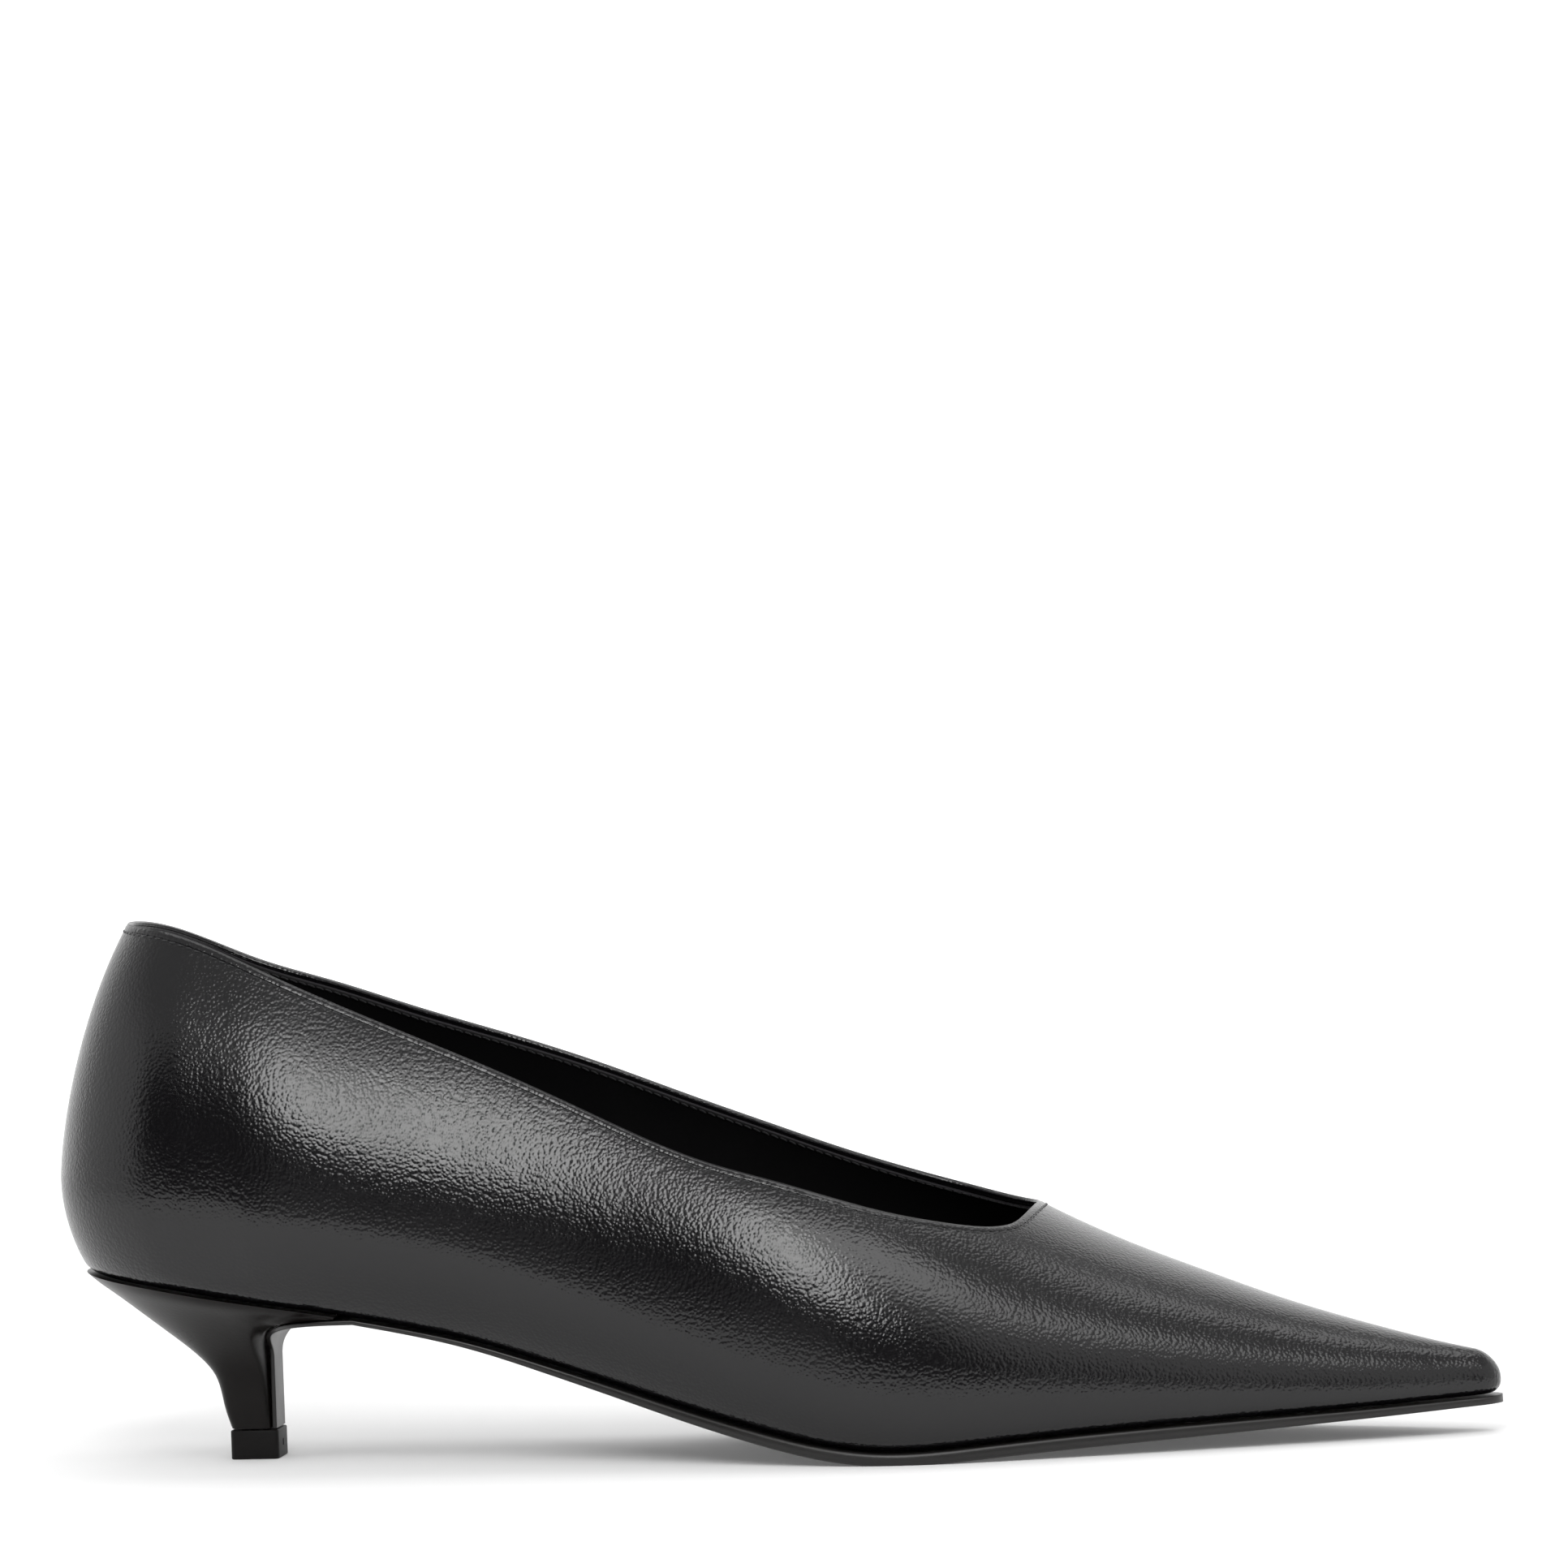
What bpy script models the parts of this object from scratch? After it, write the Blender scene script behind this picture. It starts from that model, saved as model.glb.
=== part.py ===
"""Kitten heel pump, right shoe, built as its maker would put it together.

Pieces: a hollow leather upper drawn over the last and turned under at its feather line, an
insole laid on the turned margin, a thin leather outsole that runs on down the front of the
heel, the covered heel and its top lift.

Metres, +X to the toe, +Y to the inner (medial) side, +Z up, floor at z = 0. Every height and
width of the last comes from the named sizes and the short tables below, whose rows are shares.
"""

import math
from collections import namedtuple

import bmesh
import bpy
import numpy as np
from mathutils import Vector

MM = 0.001

# Sizes of the last and the shoe
SHOE_LENGTH = 275.5 * MM  # back of the counter to the tip of the sole
BALL_WIDTH = 72 * MM  # bottom of the last across the ball
HEEL_HEIGHT = 37 * MM  # floor to the back of the heel seat
TOE_SPRING = 5.6 * MM  # lift of the toe over the ball
QUARTER_HEIGHT = 66 * MM  # heel seat to the top line at the back
COUNTER_OUT = 4.7 * MM  # how far the counter stands out behind the heel seat
TOE_RADIUS = 4.5 * MM  # plan radius of the pointed toe
TOE_ANGLE = math.radians(21)  # angle of each side of the toe to the shoe's length

# Sizes of the pieces
WALL = 1.5 * MM  # leather and lining together
MARGIN = 8 * MM  # lasting margin turned under the insole
FEATHER_RADIUS = 2 * MM  # roundness where the upper turns under
INSOLE_THICKNESS = 1.8 * MM
SOLE_THICKNESS = 2.5 * MM
FLAP_THICKNESS = 0.9 * MM  # outsole where it covers the front of the heel
EDGE_OUT = 0.6 * MM  # how far the sole stands out past the feather line
HEEL_EDGE_OUT = 0.4 * MM  # the same for the heel's seat
LIFT_LENGTH = 9.4 * MM
LIFT_WIDTH = 9.6 * MM
LIFT_HEIGHT = 5.6 * MM
STEM_LENGTH = 8.2 * MM  # stem of the heel with the flap on its front
LIFT_BACK = 31.7 * MM  # back of the top lift, from the back of the counter
BREAST_STRAIGHT = 14 * MM  # upright stretch of the heel's front above the top lift
CLEARANCE = 0.3 * MM  # gap between pieces that meet

# Places along the shoe, as shares of its length
HEEL_CENTRE = 0.116  # centre of the round heel seat
SOLE_JOIN = 0.218  # where the outsole leaves the heel and meets the upper
WING_TIP = 0.205  # front end of the heel's thin wings

# Finenesses of the meshes
HEEL_STEPS = 20
SIDE_STEPS = 12
THROAT_STEPS = 8
VAMP_STEPS = 14
NOSE_STEPS = 10
CORNER_STEPS = 5
LOWER_STEPS = 4
UPPER_STEPS = 8
SOLE_STEPS = 40
TIP_STEPS = 7
BREAST_STEPS = 11

LATERAL, MEDIAL = -1, 1

Bottom = namedtuple("Bottom", "along pitch spring")
Outline = namedtuple("Outline", "along half centre crest_line")
Wall = namedtuple("Wall", "along lateral_out medial_out wide crest roundness")
Topline = namedtuple("Topline", "along lateral medial")
Heel = namedtuple("Heel", "level back flare squareness")
Sole = namedtuple("Sole", "along thickness")

# Bottom of the last: pitch is a share of the heel's rise, spring of the toe's.
BOTTOM = [
    Bottom(0.000, 1.020, 0.00),
    Bottom(0.017, 1.000, 0.00),
    Bottom(0.075, 0.937, 0.00),
    Bottom(0.130, 0.862, 0.00),
    Bottom(0.190, 0.784, 0.00),
    Bottom(0.250, 0.692, 0.00),
    Bottom(0.300, 0.598, 0.00),
    Bottom(0.350, 0.478, 0.00),
    Bottom(0.400, 0.353, 0.00),
    Bottom(0.450, 0.230, 0.00),
    Bottom(0.500, 0.119, 0.00),
    Bottom(0.545, 0.035, 0.00),
    Bottom(0.590, -0.006, 0.00),
    Bottom(0.650, -0.006, 0.12),
    Bottom(0.700, 0.000, 0.25),
    Bottom(0.750, 0.000, 0.37),
    Bottom(0.833, 0.000, 0.51),
    Bottom(0.910, 0.000, 0.63),
    Bottom(1.000, 0.000, 0.82),
]

# Plan of the feather line: half width, and how far its middle and the crest of the last lie
# to the inner side, as shares of the ball width. The last row's half width follows the toe.
OUTLINE = [
    Outline(0.116, 0.333, 0.000, 0.000),
    Outline(0.170, 0.321, -0.009, -0.004),
    Outline(0.220, 0.295, -0.022, -0.004),
    Outline(0.280, 0.264, -0.040, 0.000),
    Outline(0.340, 0.260, -0.054, 0.015),
    Outline(0.400, 0.291, -0.060, 0.040),
    Outline(0.460, 0.352, -0.056, 0.070),
    Outline(0.520, 0.427, -0.036, 0.095),
    Outline(0.570, 0.477, -0.012, 0.108),
    Outline(0.620, 0.493, 0.012, 0.112),
    Outline(0.670, 0.470, 0.030, 0.108),
    Outline(0.720, 0.420, 0.037, 0.096),
    Outline(0.800, 0.321, 0.039, 0.074),
    Outline(0.880, 0.214, 0.040, 0.055),
    Outline(0.940, 0.131, 0.041, 0.045),
]
TOE_CENTRE_SHARE = 0.042  # how far the toe's middle lies to the inner side

# Walls of the last: how far they stand out past the feather line (share of the ball width),
# the height of their widest line and of the crest (shares of the quarter height), and the
# exponent of the curve between the two.
WALLS = [
    Wall(0.000, 0.070, 0.070, 0.270, 1.270, 1.48),
    Wall(0.017, 0.070, 0.070, 0.270, 1.280, 1.50),
    Wall(0.116, 0.085, 0.080, 0.275, 1.298, 1.75),
    Wall(0.145, 0.102, 0.090, 0.280, 1.280, 1.75),
    Wall(0.220, 0.125, 0.115, 0.285, 1.150, 1.75),
    Wall(0.330, 0.125, 0.135, 0.280, 1.055, 1.80),
    Wall(0.430, 0.100, 0.115, 0.250, 0.985, 1.95),
    Wall(0.510, 0.072, 0.080, 0.218, 0.935, 2.05),
    Wall(0.580, 0.052, 0.054, 0.192, 0.862, 2.10),
    Wall(0.634, 0.043, 0.044, 0.172, 0.748, 2.05),
    Wall(0.687, 0.036, 0.036, 0.148, 0.614, 2.00),
    Wall(0.741, 0.030, 0.030, 0.122, 0.495, 2.00),
    Wall(0.797, 0.024, 0.024, 0.098, 0.394, 2.00),
    Wall(0.852, 0.018, 0.018, 0.076, 0.302, 2.00),
    Wall(0.908, 0.012, 0.012, 0.058, 0.222, 2.00),
    Wall(0.963, 0.006, 0.006, 0.046, 0.151, 2.00),
    Wall(1.000, 0.004, 0.004, 0.042, 0.110, 2.00),
]

# Top line as the maker cuts it, seen from the side: height over the bottom of the last, as
# a share of the quarter height. It ends where it meets the crest, at the throat.
TOPLINE = [
    Topline(0.000, 1.010, 1.010),
    Topline(0.057, 1.028, 1.028),
    Topline(0.091, 1.034, 0.990),
    Topline(0.127, 1.008, 0.948),
    Topline(0.181, 0.938, 0.914),
    Topline(0.236, 0.875, 0.884),
    Topline(0.290, 0.827, 0.866),
    Topline(0.362, 0.781, 0.859),
    Topline(0.417, 0.744, 0.841),
    Topline(0.471, 0.720, 0.815),
    Topline(0.525, 0.712, 0.780),
    Topline(0.580, 0.677, 0.734),
    Topline(0.634, 0.618, 0.668),
    Topline(0.655, 0.596, 0.642),
    Topline(0.668, 0.590, 0.631),
    Topline(0.676, 0.599, 0.627),
    Topline(0.683, 0.627, 0.627),
    Topline(0.692, 0.652, 0.652),
    Topline(0.760, 0.700, 0.700),
]

# Outsole, as a share of its thickness: skived thin at the waist, as thin as its flap.
SOLE = [
    Sole(0.200, 0.36),
    Sole(0.245, 0.38),
    Sole(0.300, 0.46),
    Sole(0.350, 0.60),
    Sole(0.405, 0.74),
    Sole(0.460, 0.88),
    Sole(0.530, 1.00),
    Sole(0.600, 1.00),
    Sole(0.750, 1.00),
    Sole(0.833, 0.88),
    Sole(0.910, 0.72),
    Sole(1.000, 0.60),
]

# Heel block from the top lift (level 0) up to the seat (level 1): how far its back and its
# sides have flared out from the stem to the seat, and how square its plan is.
HEEL = [
    Heel(0.00, 0.000, 0.000, 4.5),
    Heel(0.15, 0.046, 0.030, 4.2),
    Heel(0.30, 0.080, 0.055, 3.6),
    Heel(0.40, 0.125, 0.095, 3.2),
    Heel(0.50, 0.220, 0.175, 2.8),
    Heel(0.60, 0.356, 0.300, 2.5),
    Heel(0.70, 0.510, 0.455, 2.3),
    Heel(0.80, 0.665, 0.630, 2.2),
    Heel(0.90, 0.830, 0.830, 2.1),
    Heel(0.96, 0.940, 0.950, 2.0),
    Heel(1.00, 1.000, 1.000, 2.0),
]

# Finishes seen in the photograph: base colour, roughness
BLACK_LEATHER = (0.022, 0.020, 0.021), 0.42
HEEL_LEATHER = (0.026, 0.023, 0.022), 0.50
SOLE_LEATHER = (0.030, 0.026, 0.025), 0.45
INSOLE_LEATHER = (0.012, 0.011, 0.011), 0.60
LIFT_RUBBER = (0.016, 0.015, 0.015), 0.55


class Curve:
    """A smooth line through (place, value) rows: a cubic spline with relaxed ends."""

    def __init__(self, places, values, last_slope=None):
        self.places = np.array(places, float)
        self.values = np.array(values, float)
        count = len(self.places)
        step = np.diff(self.places)
        rise = np.diff(self.values) / step
        system = np.zeros((count, count))
        wanted = np.zeros(count)
        system[0, 0] = system[-1, -1] = 1.0
        for i in range(1, count - 1):
            system[i, i - 1] = step[i - 1]
            system[i, i] = 2 * (step[i - 1] + step[i])
            system[i, i + 1] = step[i]
            wanted[i] = 6 * (rise[i] - rise[i - 1])
        if last_slope is not None:
            system[-1, -2] = step[-1]
            system[-1, -1] = 2 * step[-1]
            wanted[-1] = 6 * (last_slope - rise[-1])
        self.bend = np.linalg.solve(system, wanted)

    def __call__(self, place):
        place = min(max(place, self.places[0]), self.places[-1])
        i = int(np.searchsorted(self.places, place)) - 1
        i = min(max(i, 0), len(self.places) - 2)
        step = self.places[i + 1] - self.places[i]
        before = (self.places[i + 1] - place) / step
        after = 1 - before
        curve = (before**3 - before) * self.bend[i] + (after**3 - after) * self.bend[i + 1]
        return before * self.values[i] + after * self.values[i + 1] + curve * step**2 / 6


def curve_of(rows, column, unit):
    """The named column of a table as a Curve over x in metres, its shares turned to sizes."""
    places = [row.along * SHOE_LENGTH for row in rows]
    return Curve(places, [getattr(row, column) * unit for row in rows])


def solve(function, low, high):
    """The place between low and high where the rising function crosses zero."""
    for _ in range(50):
        middle = (low + high) / 2
        if function(middle) < 0:
            low = middle
        else:
            high = middle
    return (low + high) / 2


# Bottom of the last

BOTTOM_BASE = SOLE_THICKNESS + CLEARANCE
PITCH = curve_of(BOTTOM, "pitch", HEEL_HEIGHT + CLEARANCE - BOTTOM_BASE)
SPRING = curve_of(BOTTOM, "spring", TOE_SPRING)


def feather_height(x):
    """Height of the upper's underside at its feather line."""
    return BOTTOM_BASE + PITCH(x) + SPRING(x)


# Plan of the last

NOSE_X = SHOE_LENGTH - EDGE_OUT - TOE_RADIUS
NOSE_Y = TOE_CENTRE_SHARE * BALL_WIDTH
HEEL_X = HEEL_CENTRE * SHOE_LENGTH
OUTLINE_PLACES = [row.along * SHOE_LENGTH for row in OUTLINE] + [NOSE_X]
HALF_WIDTH = Curve(
    OUTLINE_PLACES,
    [row.half * BALL_WIDTH for row in OUTLINE] + [TOE_RADIUS / math.cos(TOE_ANGLE)],
    last_slope=-math.tan(TOE_ANGLE),
)
MIDDLE = Curve(OUTLINE_PLACES, [row.centre * BALL_WIDTH for row in OUTLINE] + [NOSE_Y])
CREST_LINE = Curve(OUTLINE_PLACES, [row.crest_line * BALL_WIDTH for row in OUTLINE] + [NOSE_Y])


def toe_half_width(x, radius):
    """Half width ahead of the nose centre: the toe's straight side, then its round tip."""
    ahead = x - NOSE_X
    if ahead < radius * math.sin(TOE_ANGLE):
        return radius / math.cos(TOE_ANGLE) - ahead * math.tan(TOE_ANGLE)
    return math.sqrt(max(radius**2 - ahead**2, 0.0))


def seat_half_width(x, radius_across, radius_back):
    """Half width behind the centre of the heel seat, which is half an ellipse."""
    behind = (HEEL_X - x) / radius_back
    return radius_across * math.sqrt(max(1 - behind**2, 0.0))


def plan_edges(x, out):
    """(lateral y, medial y) of the feather line, moved out by a distance."""
    if x > NOSE_X:
        half = toe_half_width(x, TOE_RADIUS + out)
        return NOSE_Y - half, NOSE_Y + half
    if x < HEEL_X:
        half = seat_half_width(x, HALF_WIDTH(HEEL_X) + out, HEEL_X - COUNTER_OUT + out)
        return -half, half
    slope = (HALF_WIDTH(x + MM) - HALF_WIDTH(x - MM)) / (2 * MM)
    half = HALF_WIDTH(x) + out * math.hypot(1, slope)
    return MIDDLE(x) - half, MIDDLE(x) + half


# Walls of the last

LATERAL_OUT = curve_of(WALLS, "lateral_out", BALL_WIDTH)
MEDIAL_OUT = curve_of(WALLS, "medial_out", BALL_WIDTH)
WIDE = curve_of(WALLS, "wide", QUARTER_HEIGHT)
CREST = curve_of(WALLS, "crest", QUARTER_HEIGHT)
ROUNDNESS = curve_of(WALLS, "roundness", 1)
TOP_LATERAL = curve_of(TOPLINE, "lateral", QUARTER_HEIGHT)
TOP_MEDIAL = curve_of(TOPLINE, "medial", QUARTER_HEIGHT)
SIDE_BLEND = 0.14 * BALL_WIDTH  # the two sides' top lines run together this near the crest


def crest_height(x):
    """Height of the last's crest over the floor."""
    return feather_height(x) + CREST(x)


def cut_height(x, y):
    """Height over the floor at which the top line is cut."""
    across = (y - CREST_LINE(x)) / SIDE_BLEND
    share = (1 + math.tanh(across)) / 2
    return feather_height(x) + TOP_LATERAL(x) * (1 - share) + TOP_MEDIAL(x) * share


THROAT_X = solve(
    lambda x: cut_height(x, CREST_LINE(x)) - crest_height(x),
    HEEL_X,
    0.76 * SHOE_LENGTH,
)


class Station:
    """One section of the last, from its crest out to the feather line on one side."""

    def __init__(self, centre, direction, reach, out):
        self.centre = centre
        self.direction = direction
        self.reach = reach
        self.out = out
        feather_x = centre.x + direction.x * reach
        self.base = feather_height(feather_x)
        self.wide = WIDE(feather_x)
        self.crest = crest_height(centre.x) - self.base
        self.power = 2 / ROUNDNESS(feather_x)
        ahead = crest_height(centre.x + MM) - crest_height(centre.x - MM)
        self.tilt = ahead / (2 * MM)

    def point(self, distance, height):
        """A point of the wall: that far out from the crest line, over the feather line."""
        plan = self.centre + self.direction * distance
        return Vector((plan.x, plan.y, self.base + height))

    def under(self, distance, height):
        """A point of the bottom: that far out, over the last's bottom just there."""
        plan = self.centre + self.direction * distance
        return Vector((plan.x, plan.y, feather_height(plan.x) + height))

    def lower(self, height):
        """Distance out of the wall below its widest line: a parabola to the feather line."""
        return self.reach + self.out * (1 - (1 - height / self.wide) ** 2)

    def upper(self, turn):
        """A point of the wall above its widest line (turn 0), up to the crest (a quarter turn)."""
        across = math.cos(turn) ** self.power if turn < math.pi / 2 else 0.0
        climb = math.sin(turn) ** self.power
        distance = (self.reach + self.out) * across
        slant = self.tilt * distance * self.direction.x * climb
        return self.point(distance, self.wide + (self.crest - self.wide) * climb + slant)

    def top_turn(self):
        """Where the top line cuts this section, or the crest if it passes ahead of the throat."""

        def over(turn):
            place = self.upper(turn)
            return place.z - cut_height(place.x, place.y)

        if self.centre.x >= THROAT_X or over(math.pi / 2) < 0:
            return math.pi / 2
        return solve(over, 0.0, math.pi / 2)

    def profile(self):
        """The outer face of the upper, from the inner edge of its turned margin to its top."""
        inner = max(self.reach - MARGIN, 0.3 * self.reach)
        corner = FEATHER_RADIUS
        points = [self.under(inner, 0), self.under((inner + self.reach - corner) / 2, 0)]
        for i in range(CORNER_STEPS + 1):
            turn = math.pi / 2 * i / CORNER_STEPS
            height = corner * (1 - math.cos(turn))
            distance = self.lower(height) - corner * (1 - math.sin(turn))
            points.append(self.under(distance, height))
        for i in range(1, LOWER_STEPS):
            height = corner + (self.wide - corner) * i / LOWER_STEPS
            points.append(self.point(self.lower(height), height))
        top = self.top_turn()
        points += [self.upper(top * i / UPPER_STEPS) for i in range(UPPER_STEPS + 1)]
        return points


def side_station(x, side):
    """A section straight across the shoe, on one side."""
    lateral, medial = plan_edges(x, 0)
    centre = Vector((x, CREST_LINE(x)))
    reach = centre.y - lateral if side == LATERAL else medial - centre.y
    out = LATERAL_OUT(x) if side == LATERAL else MEDIAL_OUT(x)
    return Station(centre, Vector((0, side)), reach, out)


def heel_station(angle, side):
    """A section that fans round the heel seat: angle 0 is straight across, a quarter turn back."""
    across = HALF_WIDTH(HEEL_X) * math.cos(angle)
    back = (HEEL_X - COUNTER_OUT) * math.sin(angle)
    feather = Vector((-back, side * across))
    side_out = LATERAL_OUT(HEEL_X) if side == LATERAL else MEDIAL_OUT(HEEL_X)
    out = side_out + (COUNTER_OUT - side_out) * math.sin(angle) ** 2
    return Station(Vector((HEEL_X, 0)), feather.normalized(), feather.length, out)


def nose_station(angle, side):
    """A section that fans round the toe: angle 0 is straight across, a quarter turn ahead."""
    direction = Vector((math.sin(angle), side * math.cos(angle)))
    reach = TOE_RADIUS / math.cos(max(TOE_ANGLE - angle, 0.0))
    return Station(Vector((NOSE_X, NOSE_Y)), direction, reach, LATERAL_OUT(NOSE_X))


def side_places():
    """Places of the straight sections from the heel seat to the nose, closer at the throat."""
    rounding = 0.09 * SHOE_LENGTH  # the throat turns across the shoe within this length
    behind = THROAT_X - rounding
    places = [HEEL_X + (behind - HEEL_X) * i / SIDE_STEPS for i in range(SIDE_STEPS)]
    places += [THROAT_X - rounding * (1 - i / THROAT_STEPS) ** 2 for i in range(THROAT_STEPS)]
    places += [THROAT_X + (NOSE_X - THROAT_X) * i / VAMP_STEPS for i in range(VAMP_STEPS)]
    return places


def stations_round():
    """Every section round the shoe, once, from the back by the inner side to the toe and home."""
    quarter = math.pi / 2
    half_heel, half_nose = HEEL_STEPS // 2, NOSE_STEPS // 2
    heel_angles = [quarter * i / half_heel for i in range(half_heel + 1)]
    nose_angles = [quarter * i / half_nose for i in range(half_nose + 1)]
    places = side_places()
    medial = [heel_station(a, MEDIAL) for a in reversed(heel_angles[1:])]
    medial += [side_station(x, MEDIAL) for x in places]
    medial += [nose_station(a, MEDIAL) for a in nose_angles]
    lateral = [nose_station(a, LATERAL) for a in reversed(nose_angles[:-1])]
    lateral += [side_station(x, LATERAL) for x in reversed(places)]
    lateral += [heel_station(a, LATERAL) for a in heel_angles[1:-1]]
    return medial + lateral


# Front of the heel, which the outsole covers

BREAST_X = LIFT_BACK + STEM_LENGTH - FLAP_THICKNESS  # outsole's inner face on the heel's front
BREAST_BOTTOM = LIFT_HEIGHT + CLEARANCE
ARCH_START = BREAST_BOTTOM + BREAST_STRAIGHT
JOIN_X = SOLE_JOIN * SHOE_LENGTH
JOIN_HEIGHT = feather_height(JOIN_X) - CLEARANCE
ARCH_POWER = 3.2
FRONT_FLARE_POWER = 1.8  # the heel's front stays narrow, then spreads quickly to the waist


def arch_point(angle, gap):
    """The curve between the heel's front and the waist, moved towards the heel by a gap."""
    length = JOIN_X - BREAST_X + gap
    rise = JOIN_HEIGHT - ARCH_START + gap
    across = math.cos(angle) ** (2 / ARCH_POWER)
    climb = math.sin(angle) ** (2 / ARCH_POWER)
    return JOIN_X - length * across, ARCH_START + rise * climb


# Heel block

HEEL_PLACES = [row.level for row in HEEL]
HEEL_BACK = Curve(HEEL_PLACES, [row.back for row in HEEL])
HEEL_FLARE = Curve(HEEL_PLACES, [row.flare for row in HEEL])
HEEL_SQUARE = Curve(HEEL_PLACES, [row.squareness for row in HEEL])
STEM_FRONT_HALF = 0.38 * LIFT_WIDTH  # half width of the stem at its front corners


def seat_height(x):
    """Top of the heel block under the upper."""
    return feather_height(x) - CLEARANCE


def heel_level(x, z):
    """Level in the heel, from 0 at the top lift to 1 at the seat."""
    return (z - BREAST_BOTTOM) / (seat_height(x) - BREAST_BOTTOM)


def front_half_width(x, z, side):
    """Half width of the heel and of the outsole on its front, at a point of that front."""
    lateral, medial = plan_edges(x, HEEL_EDGE_OUT)
    seat = -lateral if side == LATERAL else medial
    climb = min(max((z - ARCH_START) / (JOIN_HEIGHT - ARCH_START), 0.0), 1.0)
    return STEM_FRONT_HALF + (seat - STEM_FRONT_HALF) * climb**FRONT_FLARE_POWER


def heel_front(level):
    """x of the heel's front at a level, behind the outsole by the clearance."""

    def over(angle):
        x, z = arch_point(angle, CLEARANCE)
        return heel_level(x, z) - level

    x, _ = arch_point(solve(over, 0.0, math.pi / 2), CLEARANCE)
    return min(x, WING_TIP * SHOE_LENGTH)


def heel_ring(level, arc_steps, side_steps):
    """The heel block's outline at a level, from its lateral front corner round the back."""
    back_lift, back_seat = LIFT_BACK, COUNTER_OUT - HEEL_EDGE_OUT
    back = back_lift + (back_seat - back_lift) * HEEL_BACK(level)
    centre_lift = LIFT_BACK + LIFT_LENGTH / 2
    centre = centre_lift + (HEEL_X - centre_lift) * HEEL_FLARE(level)
    seat_half = HALF_WIDTH(HEEL_X) + HEEL_EDGE_OUT
    half = LIFT_WIDTH / 2 + (seat_half - LIFT_WIDTH / 2) * HEEL_FLARE(level)
    power = 2 / HEEL_SQUARE(level)
    front = heel_front(level)

    def height(x):
        return BREAST_BOTTOM + (seat_height(x) - BREAST_BOTTOM) * level

    def side_point(side, share):
        """A point of the straight side, from the front corner (0) to the start of the arc (1)."""
        x = front + (centre - front) * share
        corner = front_half_width(front, height(front), side)
        lateral, medial = plan_edges(x, HEEL_EDGE_OUT)
        seat_here = -lateral if side == LATERAL else medial
        wide = LIFT_WIDTH / 2 + (seat_here - LIFT_WIDTH / 2) * HEEL_FLARE(level)
        ease = min(share * 3, 1.0)
        y = corner + (wide - corner) * (1 - (1 - ease) ** 2)
        return Vector((x, side * y, height(x)))

    ring = [side_point(LATERAL, i / side_steps) for i in range(side_steps)]
    for i in range(arc_steps + 1):
        angle = math.pi * i / arc_steps
        x = centre - (centre - back) * math.sin(angle) ** power
        across = math.copysign(abs(math.cos(angle)) ** power, math.cos(angle))
        ring.append(Vector((x, -half * across, height(x))))
    ring += [side_point(MEDIAL, i / side_steps) for i in reversed(range(side_steps))]
    return ring


# Outsole


SOLE_SKIVE = curve_of(SOLE, "thickness", SOLE_THICKNESS)


def sole_path():
    """(x, z) of the outsole's inner face: up the heel's front, over the arch, on to the toe."""
    path = [(BREAST_X, BREAST_BOTTOM), (BREAST_X, (BREAST_BOTTOM + ARCH_START) / 2)]
    for i in range(BREAST_STEPS + 1):
        share = i / BREAST_STEPS
        path.append(arch_point(math.pi / 2 * share, 0))
    for i in range(1, SOLE_STEPS + 1):
        x = JOIN_X + (NOSE_X - JOIN_X) * i / SOLE_STEPS
        path.append((x, feather_height(x) - CLEARANCE))
    tip = TOE_RADIUS + EDGE_OUT
    for i in range(1, TIP_STEPS + 1):
        x = NOSE_X + tip * math.sin(math.pi / 2 * min(i / TIP_STEPS, 0.985))
        path.append((x, feather_height(x) - CLEARANCE))
    return path


def sole_sections():
    """The outsole's cross sections along its path, each a closed loop of points."""
    path = [Vector((x, 0, z)) for x, z in sole_path()]
    sections = []
    for i, place in enumerate(path):
        ahead = path[min(i + 1, len(path) - 1)] - path[max(i - 1, 0)]
        ahead.normalize()
        out = Vector((ahead.z, 0, -ahead.x))
        thickness = max(FLAP_THICKNESS, SOLE_SKIVE(place.x))
        if place.x < JOIN_X:
            lateral = -front_half_width(place.x, place.z, LATERAL)
            medial = front_half_width(place.x, place.z, MEDIAL)
        else:
            lateral, medial = plan_edges(place.x, EDGE_OUT)
        sections.append(sole_section(place, out, thickness, lateral, medial))
    return sections


def sole_section(place, out, thickness, lateral, medial):
    """One closed cross section: flat inner face, round edges, outer face pressed flat."""
    width = medial - lateral
    bead = min(0.42 * thickness, 0.12 * width)
    edge = [(0.0, 0.22), (0.45, 0.0), (0.45, 1.0), (0.12, 0.80)]
    shares = (0.12, 0.3, 0.5, 0.7, 0.88)
    loop = [(lateral + bead * inset, depth) for inset, depth in (edge[1], edge[0], edge[3])]
    loop += [(lateral + bead * edge[2][0] * 2, 1.0)]
    loop += [(lateral + width * share, 1.0) for share in shares]
    loop += [(medial - bead * edge[2][0] * 2, 1.0)]
    loop += [(medial - bead * inset, depth) for inset, depth in (edge[3], edge[0], edge[1])]
    loop += [(lateral + width * share, 0.0) for share in reversed(shares)]
    points = []
    for y, depth in loop:
        point = place + out * (depth * thickness)
        points.append(Vector((point.x, y, max(point.z, 0.0))))
    return points


# Making the objects


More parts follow.
